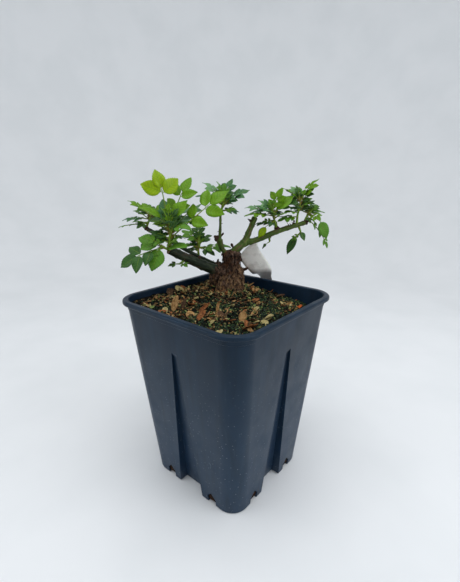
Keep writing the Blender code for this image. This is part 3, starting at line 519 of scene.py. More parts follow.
class Skin:
    """A mesh that grows by bmesh operators, with a map that runs along its pieces."""

    page = 1500

    def __init__(self) -> None:
        """Start with no faces."""
        self.stored: list[bpy.types.Mesh] = []
        self._open()

    def _open(self) -> None:
        """Open an empty page."""
        self.bm: BMesh = bmesh.new()
        self.along = self.bm.loops.layers.uv.new(Layout.ALONG.value)

    def _turn(self) -> None:
        """Set a full page aside, since every operator slows down as its mesh grows."""
        if len(self.bm.verts) > self.page:
            mesh = bpy.data.meshes.new("page")
            self.bm.to_mesh(mesh)
            self.bm.free()
            self.stored.append(mesh)
            self._open()

    def sweep(self, rings: Sequence[Ring], finish: int = 0, tip_finish: int | None = None) -> list[BMFace]:
        """Grow a closed skin through rings of points by extruding the first one.

        Args:
            rings: rings of equal counts of points, first to last.
            finish: the material index of its wall and its first cap.
            tip_finish: the material index of its last cap, or None for the same.

        Returns:
            The two faces that close its ends, first and last.
        """
        self._turn()
        count = len(rings[0])
        girth = sum((point - rings[0][index - 1]).length for index, point in enumerate(rings[0]))
        row = bmesh.ops.create_circle(self.bm, segments=count, radius=1.0)["verts"]
        spots: dict[BMVert, tuple[int, float]] = {}
        run = 0.0
        for column, (vert, point) in enumerate(zip(row, rings[0])):
            vert.co = point
            spots[vert] = (column, run)
        edges = list({edge for vert in row for edge in vert.link_edges})
        first = edges
        walls = []
        for behind, ring in zip(rings, rings[1:]):
            run += (sum(ring, Vector()) - sum(behind, Vector())).length / count
            made = bmesh.ops.extrude_edge_only(self.bm, edges=edges)["geom"]
            fresh = {item for item in made if isinstance(item, BMVert)}
            row = [next(other for edge in vert.link_edges if (other := edge.other_vert(vert)) in fresh)
                   for vert in row]
            for column, (vert, point) in enumerate(zip(row, ring)):
                vert.co = point
                spots[vert] = (column, run)
            edges = [item for item in made if isinstance(item, BMEdge)
                     and item.verts[0] in fresh and item.verts[1] in fresh]
            walls += [item for item in made if isinstance(item, BMFace)]
        for face in walls:
            face.material_index = finish
            wraps = {spots[loop.vert][0] for loop in face.loops} >= {0, count - 1}
            for loop in face.loops:
                column, height = spots[loop.vert]
                share = 1.0 if wraps and column == 0 else column / count
                loop[self.along].uv = (share * girth, height)
        caps = []
        for ends, index in ((first, finish), (edges, finish if tip_finish is None else tip_finish)):
            caps += bmesh.ops.edgeloop_fill(self.bm, edges=ends, mat_nr=index)["faces"]
        return caps

    def tube(self, path: Path, sides: int, finish: int = 0) -> None:
        """Grow a closed round tube along a path."""
        self.sweep(tube_rings(path, sides), finish)

    def sheet(self, rows: int, columns: int, place: Callable[[float, float], Vector], finish: int = 0) -> None:
        """Lay a grid and move each of its points to its place.

        Args:
            rows: how many faces run along it.
            columns: how many faces run across it.
            place: gives a point from -1 to 1 across and from 0 to 1 along.
            finish: the material index of its faces.
        """
        self._turn()
        verts = bmesh.ops.create_grid(self.bm, x_segments=columns, y_segments=rows, size=1.0)["verts"]
        spots = {vert: (vert.co.x, (vert.co.y + 1.0) / 2.0) for vert in verts}
        for face in {face for vert in verts for face in vert.link_faces}:
            face.material_index = finish
            for loop in face.loops:
                loop[self.along].uv = spots[loop.vert]
        for vert, (across, share) in spots.items():
            vert.co = place(across, share)

    def grit(self, place: Vector, size: Vector, turn: Matrix, rng: random.Random, finish: int = 0) -> None:
        """Add one lump: a 20-sided ball, stretched, turned and knocked out of shape."""
        self._turn()
        scale = Matrix.Diagonal(size.to_4d())
        matrix = Matrix.Translation(place) @ turn.to_4x4() @ scale
        verts = bmesh.ops.create_icosphere(self.bm, subdivisions=1, radius=1.0, matrix=matrix)["verts"]
        least = min(size)
        for vert in verts:
            vert.co += Vector((rng.uniform(-1, 1), rng.uniform(-1, 1), rng.uniform(-1, 1))) * least * 0.35
        for face in {face for vert in verts for face in vert.link_faces}:
            face.material_index = finish

    def piece(self, name: str, finishes: Sequence[Finish], slot: str, replaces: Iterable[str] = (),
              sharp: float = 40.0, closed: bool = True) -> bpy.types.Object:
        """Turn the skin into a finished piece that rides on the plant's body.

        Args:
            name: the piece's name.
            finishes: its finishes, by material index.
            slot: the record's material slot, not used.
            replaces: the CAD nodes that it stands for.
            sharp: edges that bend by more degrees than this stay sharp.
            closed: whether every shell is closed, so that its faces can be turned out.

        Returns:
            The piece.
        """
        for page in self.stored:
            self.bm.from_mesh(page)
            bpy.data.meshes.remove(page)
        if closed:
            bmesh.ops.recalc_face_normals(self.bm, faces=self.bm.faces[:])
        mesh = bpy.data.meshes.new(name)
        self.bm.to_mesh(mesh)
        self.bm.free()
        mesh.shade_smooth()
        mesh.set_sharp_from_angle(angle=math.radians(sharp))
        for finish in finishes:
            mesh.materials.append(finish.material())
        item = bpy.data.objects.new(name, mesh)
        bpy.context.scene.collection.objects.link(item)
        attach(item, BODY)
        nodes = tuple(replaces)
        if nodes:
            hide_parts(*nodes)
        LOG.info("%s: %d faces", name, len(mesh.polygons))
        return item


def thicken(item: bpy.types.Object, thickness: float, under: int = 0) -> None:
    """Give a sheet its thickness below its upper face, with another finish under it."""
    solidify = item.modifiers.new("thickness", "SOLIDIFY")
    solidify.thickness = thickness
    solidify.offset = -1.0
    solidify.material_offset = under
    solidify.material_offset_rim = under


def tree_of(item: bpy.types.Object) -> BVHTree:
    """Return the tree of faces of a mesh object at the origin."""
    bm = bmesh.new()
    bm.from_mesh(item.data)
    tree = BVHTree.FromBMesh(bm)
    bm.free()
    return tree


# Pot and soil

@dataclass(frozen=True)
class SquarePot:
    """The tall square nursery pot: tapered grooved walls, a rolled rim and drain notches."""

    height: float = 0.228
    foot_half: float = 0.068
    foot_corner: float = 0.0206
    wall_half: float = 0.0854
    wall_corner: float = 0.0240
    rim_half: float = 0.0900
    rim_depth: float = 0.0048
    rim_width: float = 0.0066
    rim_roll: float = 0.0021
    ledge_drop: float = 0.0062
    ledge_depth: float = 0.0005
    wall: float = 0.0018
    floor: float = 0.0030
    corner_steps: int = 14
    roll_steps: int = 4
    groove_top: float = 0.187
    groove_bevel: float = 0.006
    groove_half: tuple[float, float] = (0.0036, 0.0185)
    groove_depth: tuple[float, float] = (0.0022, 0.0105)
    notch_offset: float = 0.034
    notch_half: float = 0.0062
    notch_shoulder: float = 0.0095
    notch_top: float = 0.0165
    notch_reach: float = 0.006

    def half_at(self, z: float) -> float:
        """Return half the pot's width over the wall at a height."""
        return blend(self.foot_half, self.wall_half, z / self.height)

    def outline(self, z: float, inset: float, half: float | None = None) -> list[Vector]:
        """Return the pot's outline at a height.

        Args:
            z: the height.
            inset: how far the outline is moved in from the outer wall.
            half: half the width instead of the wall's own, as for the rim.

        Returns:
            Four rounded corners, each followed by the four points of a groove.
        """
        radius = max(blend(self.foot_corner, self.wall_corner, z / self.height) - inset, 0.002)
        if half is None:
            half = self.half_at(z)
        else:
            radius += half - self.half_at(z)
        half -= inset
        share = 1.0 - z / self.groove_top
        groove_half = blend(*self.groove_half, max(share, 0.0)) + inset
        depth = blend(*self.groove_depth, share) * min(max((self.groove_top - z) / self.groove_bevel, 0.0), 1.0)
        quarter = []
        for step in range(self.corner_steps + 1):
            turn = math.radians(90.0 * step / self.corner_steps)
            quarter.append((half - radius + radius * math.cos(turn), half - radius + radius * math.sin(turn)))
        quarter += [(groove_half, half), (groove_half, half - depth), (-groove_half, half - depth),
                    (-groove_half, half)]
        outline = []
        for turns in range(4):
            spin = Matrix.Rotation(math.radians(90.0 * turns), 3, "Z")
            outline += [spin @ Vector((x, y, z)) for x, y in quarter]
        return outline

    def _roll(self, z: float, half: float, radius: float, start: float, end: float) -> list[tuple[float, float]]:
        """Return heights and half widths on an arc about a centre, between two angles."""
        turns = [math.radians(blend(start, end, step / self.roll_steps)) for step in range(self.roll_steps + 1)]
        return [(z + radius * math.sin(turn), half + radius * math.cos(turn)) for turn in turns]

    def _rings(self) -> list[list[Vector]]:
        """Return the rings from the foot, up the outside, over the rim and down inside."""
        shoulder = self.groove_top - self.groove_bevel
        rim_foot = self.height - self.rim_depth
        ledge = rim_foot - self.ledge_drop
        inner = self.rim_half - self.rim_width
        lip = self.rim_roll * 0.6
        rings = [self.outline(0.0, 0.0014), self.outline(0.0005, 0.0005), self.outline(0.0016, 0.0)]
        rings += [self.outline(z, 0.0) for z in (shoulder, shoulder + self.groove_bevel * 0.7, self.groove_top)]
        rings += [self.outline(ledge, 0.0), self.outline(ledge + 0.0004, -self.ledge_depth)]
        rings.append(self.outline(rim_foot, -self.ledge_depth))
        profile = self._roll(rim_foot + lip, self.rim_half - lip, lip, -90.0, 0.0)
        profile += self._roll(self.height - self.rim_roll, self.rim_half - self.rim_roll, self.rim_roll, 0.0, 90.0)
        profile += self._roll(self.height - lip, inner + lip, lip, 90.0, 180.0)
        rings += [self.outline(z, 0.0, half) for z, half in profile]
        inside = (self.height - 0.0035, self.groove_top, shoulder, self.floor)
        rings += [self.outline(z, self.wall) for z in inside]
        return rings

    def _notch(self, side: int, sign: int) -> bpy.types.Object:
        """Return the pointed prism that cuts one drain notch through a wall."""
        outline = ((-self.notch_half, -0.002), (self.notch_half, -0.002), (self.notch_half, self.notch_shoulder),
                   (0.0, self.notch_top), (-self.notch_half, self.notch_shoulder))
        spin = Matrix.Rotation(math.radians(90.0 * side), 3, "Z")
        skin = Skin()
        skin.sweep([[spin @ Vector((sign * self.notch_offset + x, self.foot_half + reach, z)) for x, z in outline]
                    for reach in (-self.notch_reach, self.notch_reach)])
        bmesh.ops.recalc_face_normals(skin.bm, faces=skin.bm.faces[:])
        mesh = bpy.data.meshes.new("notch")
        skin.bm.to_mesh(mesh)
        skin.bm.free()
        cutter = bpy.data.objects.new("notch", mesh)
        bpy.context.scene.collection.objects.link(cutter)
        return cutter

    def build(self) -> bpy.types.Object:
        """Build the pot, soften its groove edges and cut its drain notches."""
        skin = Skin()
        skin.sweep(self._rings())
        bmesh.ops.recalc_face_normals(skin.bm, faces=skin.bm.faces[:])
        low, high = 0.001, self.groove_top - 0.001
        creases = [edge for edge in skin.bm.edges if edge.is_manifold and edge.calc_face_angle(0.0) > math.radians(50)
                   and min(vert.co.z for vert in edge.verts) > low and max(vert.co.z for vert in edge.verts) < high]
        bmesh.ops.bevel(skin.bm, geom=creases, offset=0.0007, offset_type="OFFSET", segments=2, profile=0.5,
                        affect="EDGES", clamp_overlap=True, material=-1)
        pot = skin.piece("nursery_pot", [MOULDED_POLYPROPYLENE], "pot_plastic", ["pot"], sharp=32.0)
        cutters = [self._notch(side, sign) for side in range(4) for sign in (-1, 1)]
        for cutter in cutters:
            carve = pot.modifiers.new("notch", "BOOLEAN")
            carve.operation = "DIFFERENCE"
            carve.object = cutter
        graph = bpy.context.evaluated_depsgraph_get()
        carved = bpy.data.meshes.new_from_object(pot.evaluated_get(graph))
        pot.modifiers.clear()
        pot.data = carved
        for cutter in cutters:
            bpy.data.objects.remove(cutter)
        weighted = pot.modifiers.new("flat_walls", "WEIGHTED_NORMAL")
        weighted.keep_sharp = True
        return pot


@dataclass(frozen=True)
class DryLeaf:
    """One fallen leaf: where it lies in millimetres, how it points, and how it has curled."""

    x_mm: float
    y_mm: float
    heading: float
    rise: float
    length_mm: float
    width_mm: float
    curl: float
    finish: Finish
    roll: float = 0.0
    lift_mm: float = 0.0


# Fallen leaves that show from the front, by what lies where on the soil.
SHOWN_LEAVES: tuple[DryLeaf, ...] = (
    DryLeaf(-33, -54, 70, 58, 19, 13, 50, DRY_TAN, 8),
    DryLeaf(-27, -45, 100, 42, 15, 10, 95, DRY_BROWN, -25),
    DryLeaf(-42, -18, 20, 14, 7, 5, 60, DRY_TAN),
    DryLeaf(-13, -34, 75, 24, 17, 7, 210, DRY_RUSSET, 30),
    DryLeaf(2, -20, 118, 30, 15, 6, 230, DRY_TAN, -20),
    DryLeaf(-14, 3, -50, 10, 19, 6, 180, DRY_RUSSET, 10),
    DryLeaf(8, 9, 10, 8, 13, 5, 110, DRY_TAN, -20),
    DryLeaf(30, 9, 80, 20, 9, 9, 200, STRAW_FLAKE),
    DryLeaf(33, 12, 200, 26, 8, 8, 170, DRY_TAN, 30),
    DryLeaf(22, -24, -20, 12, 15, 6, 120, DRY_RUSSET),
    DryLeaf(35, -20, 100, 48, 12, 9, 90, DRY_TAN, 20),
    DryLeaf(46, -32, 30, 16, 17, 9, 120, DRY_RUSSET, -30),
    DryLeaf(52, -28, 150, 22, 13, 9, 100, DRY_RUSSET, 20),
    DryLeaf(43, -12, 10, 8, 9, 8, 60, STRAW_FLAKE),
    DryLeaf(52, -7, 80, 14, 9, 9, 60, STRAW_FLAKE, 15),
    DryLeaf(48, 7, 30, 18, 9, 10, 190, STRAW_FLAKE),
    DryLeaf(54, 59, 60, 20, 9, 6, 80, DRY_ORANGE),
    DryLeaf(3, -52, 75, 34, 14, 8, 110, DRY_RUSSET, 15),
    DryLeaf(-5, -53, 140, 16, 12, 10, 90, DRY_TAN),
    DryLeaf(-67, -26, 150, 20, 13, 9, 120, DRY_BROWN),
    DryLeaf(-34, 20, 40, 16, 12, 10, 130, DRY_RUSSET),
    DryLeaf(-19, -58, -30, 14, 10, 6, 100, DRY_RUSSET),
    DryLeaf(-64, -50, -40, 6, 12, 4, 90, DRY_TAN),
    DryLeaf(20, 52, 40, 12, 10, 5, 100, DRY_TAN),
    DryLeaf(-8, 60, 70, 18, 9, 8, 90, DRY_TAN),
    DryLeaf(18, 68, 20, 14, 14, 9, 120, DRY_BROWN),
    DryLeaf(60, 70, 60, 10, 18, 6, 120, DRY_BROWN),
    DryLeaf(34, 71, -30, 12, 9, 5, 90, DRY_TAN),
)


@dataclass(frozen=True)
class Grit:
    """A kind of small lump on the soil: how many, how large, how flat, and its finish."""

    name: str
    finish: Finish
    count: int
    size_mm: tuple[float, float]
    flatness: float
    mossy: bool


@dataclass(frozen=True)
class PottingSoil:
    """The soil: a root ball, a rough bed of peat, and what lies and grows on it."""

    pot: SquarePot
    level: float = 0.2140
    slope_x: float = -0.085
    mound: float = 0.0050
    mound_reach: float = 0.034
    mound_x: float = -0.0351
    mound_y: float = 0.0424
    bed_steps: int = 150
    bed_depth: float = 0.010
    block_top: float = 0.2010
    clear: float = 0.019
    grits: tuple[Grit, ...] = (
        Grit("peat_crumbs", PEAT_AND_SHADE, 1300, (0.7, 2.1), 0.8, False),
        Grit("bark_chips", BARK_CHIP, 560, (0.9, 2.8), 0.45, False),
        Grit("straw_flakes", STRAW_FLAKE, 240, (0.6, 1.8), 0.35, False),
        Grit("moss_cushions", MOSS, 2600, (0.7, 1.8), 0.9, True),
        Grit("moss_tips", MOSS_TIP, 700, (0.5, 1.3), 0.6, True),
    )
    leaf_count: int = 105
    curl_count: int = 1500
    heap_share: float = 0.22
    heap_reach: tuple[float, float] = (0.0135, 0.0290)
    heap_rise: float = 0.0085
    twig_count: int = 60
    drift_size: float = 0.017
    drift_rise: float = 0.0022

    def height(self, x: float, y: float) -> float:
        """Return the smooth height of the soil at a place."""
        reach = math.hypot(x - self.mound_x, y - self.mound_y) / self.mound_reach
        return self.level + self.slope_x * x + self.mound * math.exp(-reach * reach)

    def surface(self, x: float, y: float) -> float:
        """Return the height of the bed with its lumps and hollows."""
        spot = Vector((x, y, 0.0))
        lumps = 0.0013 * grain(spot, 0.011) + 0.0009 * grain(spot, 0.0042, 3.0) + 0.0004 * grain(spot, 0.0017, 7.0)
        return self.height(x, y) + lumps + self.drift_rise * self.drift(x, y)

    def drift(self, x: float, y: float) -> float:
        """Return how thick the litter lies at a place, from about -0.5 in a hollow to 0.5 in a drift."""
        return grain(Vector((x, y, 0.0)), self.drift_size, 31.0)

    def mossiness(self, x: float, y: float) -> float:
        """Return how likely moss is at a place: more towards +X, in patches."""
        return 0.6 + 4.6 * x + 0.75 * grain(Vector((x, y, 0.0)), 0.026, 11.0)

    def inner_half(self, z: float) -> float:
        """Return half the pot's inner width at a height."""
        return self.pot.half_at(z) - self.pot.wall - GAP / 2

    def inside(self, x: float, y: float, margin: float) -> bool:
        """Say whether a place lies in the pot, a margin clear of its wall and the stump."""
        half = self.inner_half(self.level) - margin
        corner = self.pot.wall_corner
        over = Vector((max(abs(x) - half + corner, 0.0), max(abs(y) - half + corner, 0.0)))
        stump = math.hypot(x - self.mound_x, y - self.mound_y)
        return over.length < corner and stump > self.clear + margin * 0.5

    def spots(self, rng: random.Random, count: int, margin: float, mossy: bool | None) -> list[Vector]:
        """Deal out places on the bed.

        Args:
            rng: the seeded random source.
            count: how many places.
            margin: how far they stay from the wall.
            mossy: whether they gather where moss grows, or where it doesn't, or None.

        Returns:
            Places on the bed's surface.
        """
        found = []
        while len(found) < count:
            x = rng.uniform(-0.084, 0.084)
            y = rng.uniform(-0.084, 0.084)
            fate = rng.random()
            if not self.inside(x, y, margin):
                continue
            if not mossy and self.drift(x, y) < rng.uniform(-0.40, 0.30):
                continue
            moss = min(max(self.mossiness(x, y), 0.08), 0.92)
            if mossy is not None and fate > (moss if mossy else 1.0 - moss):
                continue
            found.append(Vector((x, y, self.surface(x, y))))
        return found

    def heap_spots(self, rng: random.Random, count: int) -> list[Vector]:
        """Deal out places in the heap of litter that has caught round the stump's foot."""
        found = []
        for _ in range(count):
            share = rng.random() ** 1.3
            way = direction(rng.uniform(0, 360), 0.0) * blend(*self.heap_reach, share)
            spot = Vector((self.mound_x + way.x, self.mound_y + way.y, 0.0))
            slope = 0.5 + 0.5 * math.cos(math.pi * share)
            lump = 0.8 + 0.4 * grain(spot, 0.009, 21.0)
            spot.z = self.surface(spot.x, spot.y) + self.heap_rise * slope * lump * rng.random() ** 0.7
            found.append(spot)
        return found

    def _bed(self) -> None:
        """Build the rough top of the soil as a closed slab."""
        skin = Skin()
        corner = self.pot.wall_corner - self.pot.wall
        middle = self.inner_half(self.level)

        def place(across: float, share: float) -> Vector:
            flat = Vector((across * middle, (share * 2.0 - 1.0) * middle))
            over = Vector((max(abs(flat.x) - middle + corner, 0.0), max(abs(flat.y) - middle + corner, 0.0)))
            if over.x > 0.0 and over.y > 0.0:
                shrink = max(over) / over.length
                flat.x -= math.copysign(over.x * (1.0 - shrink), flat.x)
                flat.y -= math.copysign(over.y * (1.0 - shrink), flat.y)
            flat *= self.inner_half(self.height(flat.x, flat.y)) / middle
            return Vector((flat.x, flat.y, self.surface(flat.x, flat.y)))

        skin.sheet(self.bed_steps, self.bed_steps, place)
        rim = [edge for edge in skin.bm.edges if edge.is_boundary]
        made = bmesh.ops.extrude_edge_only(skin.bm, edges=rim)["geom"]
        for vert in (item for item in made if isinstance(item, BMVert)):
            vert.co.x *= 1.0 - self.bed_depth * 0.9
            vert.co.y *= 1.0 - self.bed_depth * 0.9
            vert.co.z -= self.bed_depth
        lower = [edge for edge in skin.bm.edges if edge.is_boundary]
        bmesh.ops.edgeloop_fill(skin.bm, edges=lower)
        skin.piece("soil_bed", [PEAT_AND_SHADE], "soil_and_litter", ["soil"], sharp=80.0)

    def _block(self) -> None:
        """Build the root ball that fills the pot and shows through its notches."""
        inset = self.pot.wall + GAP
        shoulder = self.pot.groove_top - self.pot.groove_bevel
        heights = (self.pot.floor + GAP, shoulder, self.pot.groove_top, self.block_top)
        skin = Skin()
        skin.sweep([self.pot.outline(z, inset) for z in heights])
        skin.piece("root_ball", [ROOT_BALL], "soil_and_litter", ["soil"])

    def _grit(self, grit: Grit) -> None:
        """Scatter one kind of lump, half sunk in the bed."""
        rng = random.Random(grit.name)
        skin = Skin()
        places = self.spots(rng, grit.count, grit.size_mm[1] / 1000, grit.mossy)
        places += self.heap_spots(rng, round(grit.count * self.heap_share))
        for place in places:
            size = rng.uniform(*grit.size_mm) / 1000
            turn = Matrix.Rotation(rng.uniform(0, 2 * math.pi), 3, "Z")
            turn = turn @ Matrix.Rotation(rng.uniform(-0.5, 0.5), 3, "X")
            lump = Vector((size, size * rng.uniform(0.55, 0.95), size * grit.flatness))
            place.z += lump.z * rng.uniform(-0.2, 0.45)
            skin.grit(place, lump, turn, rng)
        skin.piece(grit.name, [grit.finish], "soil_and_litter", sharp=60.0)

    def _leaf(self, skin: Skin, leaf: DryLeaf, finish: int, rng: random.Random, fine: bool = True) -> None:
        """Add one curled dry leaf, its foot in the bed."""
        x = leaf.x_mm / 1000
        y = leaf.y_mm / 1000
        forward = direction(leaf.heading, leaf.rise)
        normal = (UP - forward * forward.z).normalized()
        normal = Matrix.Rotation(math.radians(leaf.roll), 3, forward) @ normal
        side = forward.cross(normal)
        length = leaf.length_mm / 1000
        half = leaf.width_mm / 2000
        bend = math.radians(leaf.curl) / 2
        seed = rng.uniform(0, 50)
        root = Vector((x, y, self.surface(x, y) - 0.0008 + leaf.lift_mm / 1000))

        def place(across: float, share: float) -> Vector:
            spread = max(math.sin(math.pi * min(share * 0.94 + 0.03, 1.0)) ** 0.7, 0.05)
            turn = across * bend
            reach = math.sin(turn) / bend
            lift = (1.0 - math.cos(turn)) / bend
            point = root + forward * (share * length) + side * (reach * half * spread)
            point += normal * (lift * half * spread + 0.22 * length * share * share - 0.05 * length * share)
            return point + normal * grain(point, 0.004, seed) * 0.0007

        skin.sheet(9 if fine else 4, 6 if fine else 2, place, finish)

    def _curls(self) -> None:
        """Scatter small curled scraps of leaf, thickest about the stump's foot."""
        rng = random.Random(29)
        finishes = [STRAW_FLAKE, DRY_TAN, MOSS_TIP, DRY_RUSSET, DRY_BROWN]
        skin = Skin()
        places = [(place, 1.0) for place in self.spots(rng, self.curl_count, 0.004, None)]
        places += [(place, 1.35) for place in self.heap_spots(rng, round(self.curl_count * self.heap_share))]
        for place, size in places:
            mossy = self.mossiness(place.x, place.y) > rng.uniform(0.2, 0.9)
            finish = rng.choice((0, 2, 2, 2, 1) if mossy and size < 1.1 else (1, 1, 3, 4, 2, 0))
            length = (rng.triangular(1.5, 5.2, 2.1) if mossy else rng.triangular(2.0, 8.0, 3.2)) * size
            lift = max(place.z - self.surface(place.x, place.y), 0.0) * 1000
            curl = DryLeaf(place.x * 1000, place.y * 1000, rng.uniform(0, 360), rng.uniform(4, 40), length,
                           length * rng.uniform(0.35, 0.8), rng.uniform(90, 260), finishes[finish],
                           rng.uniform(-50, 50), lift)
            self._leaf(skin, curl, finish, rng, fine=False)
        item = skin.piece("litter_curls", finishes, "soil_and_litter", sharp=70.0, closed=False)
        thicken(item, 0.0002)

    def _litter(self) -> None:
        """Scatter dry leaves: those that show from the front, and seeded ones between."""
        rng = random.Random(23)
        finishes = [DRY_TAN, DRY_RUSSET, DRY_BROWN, STRAW_FLAKE, DRY_ORANGE]
        leaves = list(SHOWN_LEAVES)
        for place in self.spots(rng, self.leaf_count, 0.008, False):
            length = rng.triangular(4.5, 15.0, 8.0)
            leaves.append(DryLeaf(place.x * 1000, place.y * 1000, rng.uniform(0, 360), rng.uniform(2, 24), length,
                                  length * rng.uniform(0.4, 0.75), rng.uniform(50, 170), rng.choice(finishes[:4]),
                                  rng.uniform(-35, 35)))
        skin = Skin()
        for leaf in leaves:
            self._leaf(skin, leaf, finishes.index(leaf.finish), rng)
        item = skin.piece("fallen_leaves", finishes, "soil_and_litter", sharp=70.0, closed=False)
        thicken(item, 0.0002)

    def _twigs(self) -> None:
        """Scatter thin dry stalks and rootlets over the bed."""
        rng = random.Random(31)
        skin = Skin()
        for place in self.spots(rng, self.twig_count, 0.012, None):
            heading = rng.uniform(0, 360)
            length = rng.uniform(0.008, 0.022)
            radius = rng.uniform(0.00022, 0.0006)
            stations = []
            for step in range(4):
                spot = place + direction(heading, 0.0) * (length * (step / 3 - 0.5))
                heading += rng.uniform(-22, 22)
                if not self.inside(spot.x, spot.y, 0.001):
                    break
                lift = radius * 0.8 + rng.uniform(0.0, 0.0012)
                stations.append(((spot.x, spot.y, self.surface(spot.x, spot.y) + lift), radius * (1 - 0.12 * step)))
            if len(stations) > 1:
                skin.tube(smooth_path(stations, 4), 5)
        skin.piece("dry_stalks", [BARK_CHIP], "soil_and_litter", sharp=70.0)

    def build(self) -> None:
        """Build everything that fills the pot."""
        self._block()
        self._bed()
        for grit in self.grits:
            self._grit(grit)
        self._litter()
        self._curls()
        self._twigs()


# Wood

@dataclass(frozen=True)
class Burl:
    """A lump of old bark or a dead stub on the stump: where, how large and how drawn out."""

    spot: tuple[float, float, float]
    radius: float
    heading: float = 0.0
    rise: float = 90.0
    stretch: float = 1.0
    finish: int = 0


@dataclass(frozen=True)
class Stump:
    """The old trunk: root flare, waist and swollen crown, with its bark's relief."""

    base: tuple[float, float, float] = (-0.0351, 0.0424, 0.2223)
    waist: tuple[float, float, float] = (-0.0315, 0.0441, 0.2540)
    crown: tuple[float, float, float] = (-0.0309, 0.0433, 0.2640)
    top: tuple[float, float, float] = (-0.0306, 0.0430, 0.2690)
    profile: tuple[tuple[float, float], ...] = (
        (0.00, 0.0208), (0.12, 0.0192), (0.28, 0.0158), (0.46, 0.0124), (0.64, 0.0102), (0.78, 0.0106),
        (0.90, 0.0114), (0.97, 0.0096), (1.00, 0.0060))
    lobes: int = 5
    lobe_depth: float = 0.09
    lobe_turn: float = 0.7
    sides: int = 112
    rows: int = 96
    sunk: float = 0.0048
    burls: tuple[Burl, ...] = (
        Burl((-0.0375, 0.0335, 0.2430), 0.0094), Burl((-0.0424, 0.0262, 0.2446), 0.0086, 240, -10, 0.9),
        Burl((-0.0450, 0.0315, 0.2410), 0.0078), Burl((-0.0436, 0.0278, 0.2362), 0.0076),
        Burl((-0.0452, 0.0300, 0.2300), 0.0084), Burl((-0.0432, 0.0330, 0.2496), 0.0050, 140, 30, 1.3),
        Burl((-0.0262, 0.0450, 0.2290), 0.0080), Burl((-0.0362, 0.0385, 0.2655), 0.0038, 230, 30, 1.2),
        Burl((-0.0196, 0.0560, 0.2448), 0.0019, 30, 24, 2.3, 1), Burl((-0.0235, 0.0400, 0.2556), 0.0016, -40, 34, 1.9, 1),
        Burl((-0.0446, 0.0345, 0.2520), 0.0017, -150, 58, 2.2, 1))
    burl_rows: int = 22
    strips: int = 120
    fibres: int = 190
    knobs: tuple[tuple[float, float, float, float], ...] = (
        (-0.9, 0.80, 0.0022, 0.0030), (1.2, 0.72, 0.0026, 0.0036), (-2.4, 0.60, 0.0020, 0.0034),
        (0.2, 0.45, 0.0024, 0.0040), (2.4, 0.84, 0.0024, 0.0030), (-1.6, 0.30, 0.0020, 0.0040),
        (-0.2, 0.92, 0.0020, 0.0026), (3.0, 0.40, 0.0022, 0.0040), (0.72, 0.46, 0.0042, 0.0038),
        (0.2, 0.30, 0.0026, 0.0036), (-1.1, 0.52, 0.0020, 0.0030))

    @cached_property
    def axis(self) -> list[Vector]:
        """Return points along the stump's axis, from its foot to its top."""
        stations = [(spot, 0.0) for spot in (self.base, self.waist, self.crown, self.top)]
        return [point for point, _ in smooth_path(stations, 12)]

    def centre(self, share: float) -> Vector:
        """Return the stump's axis at a share of its height."""
        z = blend(self.base[2], self.top[2], share)
        for low, high in zip(self.axis, self.axis[1:]):
            if z <= high.z:
                break
        return low.lerp(high, (z - low.z) / (high.z - low.z))

    def girth(self, share: float) -> float:
        """Return the stump's mean radius at a share of its height."""
        share = min(max(share, 0.0), 1.0)
        for (low, small), (high, large) in zip(self.profile, self.profile[1:]):
            if share <= high:
                ease = (share - low) / (high - low)
                return blend(small, large, ease * ease * (3 - 2 * ease))
        return self.profile[-1][1]

    def point(self, turn: float, share: float, lift: float = 0.0) -> Vector:
        """Return a point on the bark, or a lift above it.

        Args:
            turn: the angle round the axis.
            share: the share of the height, below 0 where the stump runs into the soil.
            lift: how far above the bark.

        Returns:
            The point.
        """
        centre = self.centre(share)
        flare = self.lobe_depth * (1.0 - min(max(share, 0.0), 1.0)) ** 2
        radius = self.girth(share) * (1.0 + flare * math.cos(self.lobes * turn + self.lobe_turn))
        way = Vector((math.cos(turn), math.sin(turn), 0.0))
        spot = centre + way * radius
        ridged = Vector((spot.x, spot.y, spot.z * 0.28))
        relief = 0.0016 * grain(ridged, 0.0056) + 0.0008 * abs(grain(ridged, 0.0024, 5.0))
        relief += 0.0013 * grain(spot, 0.0085, 9.0) - 0.0009 * abs(grain(ridged, 0.0034, 2.0))
        height = self.top[2] - self.base[2]
        for knob_turn, knob_share, rise, reach in self.knobs:
            around = math.remainder(turn - knob_turn, 2 * math.pi) * radius
            above = (share - knob_share) * height
            relief += rise * math.exp(-(around * around + above * above) / (reach * reach))
        edge = min(1.0, (1.0 - share) * 12.0 + 0.3)
        return spot + way * (relief * edge + lift)

    def _bark(self) -> None:
        """Build the stump's skin with ridges, hollows and knobs."""
        foot = -self.sunk / (self.top[2] - self.base[2])
        rings = []
        for row in range(self.rows + 1):
            share = blend(foot, 1.0, row / self.rows)
            rings.append([self.point(2 * math.pi * side / self.sides, share) for side in range(self.sides)])
        for shrink, rise in ((0.72, 0.0006), (0.40, 0.0009)):
            centre = self.centre(1.0)
            rings.append([centre + (spot - centre) * shrink + UP * (rise + 0.0006 * grain(spot, 0.003))
                          for spot in rings[self.rows]])
        skin = Skin()
        skin.sweep(rings)
        skin.piece("stump_bark", [OLD_BARK], "old_bark", ["trunk"], sharp=75.0)

    def _strips(self) -> None:
        """Peel short flakes of bark off the stump, held at their upper ends."""
        rng = random.Random(41)
        skin = Skin()
        for _ in range(self.strips):
            turn = rng.uniform(-math.pi, math.pi)
            share = rng.uniform(0.08, 0.98)
            length = rng.uniform(0.08, 0.26)
            half = rng.uniform(0.0005, 0.0016)
            lean = rng.uniform(-0.16, 0.16)
            peel = rng.uniform(0.0003, 0.0017)
            finish = 0 if rng.random() < 0.35 + 0.6 * share else 1

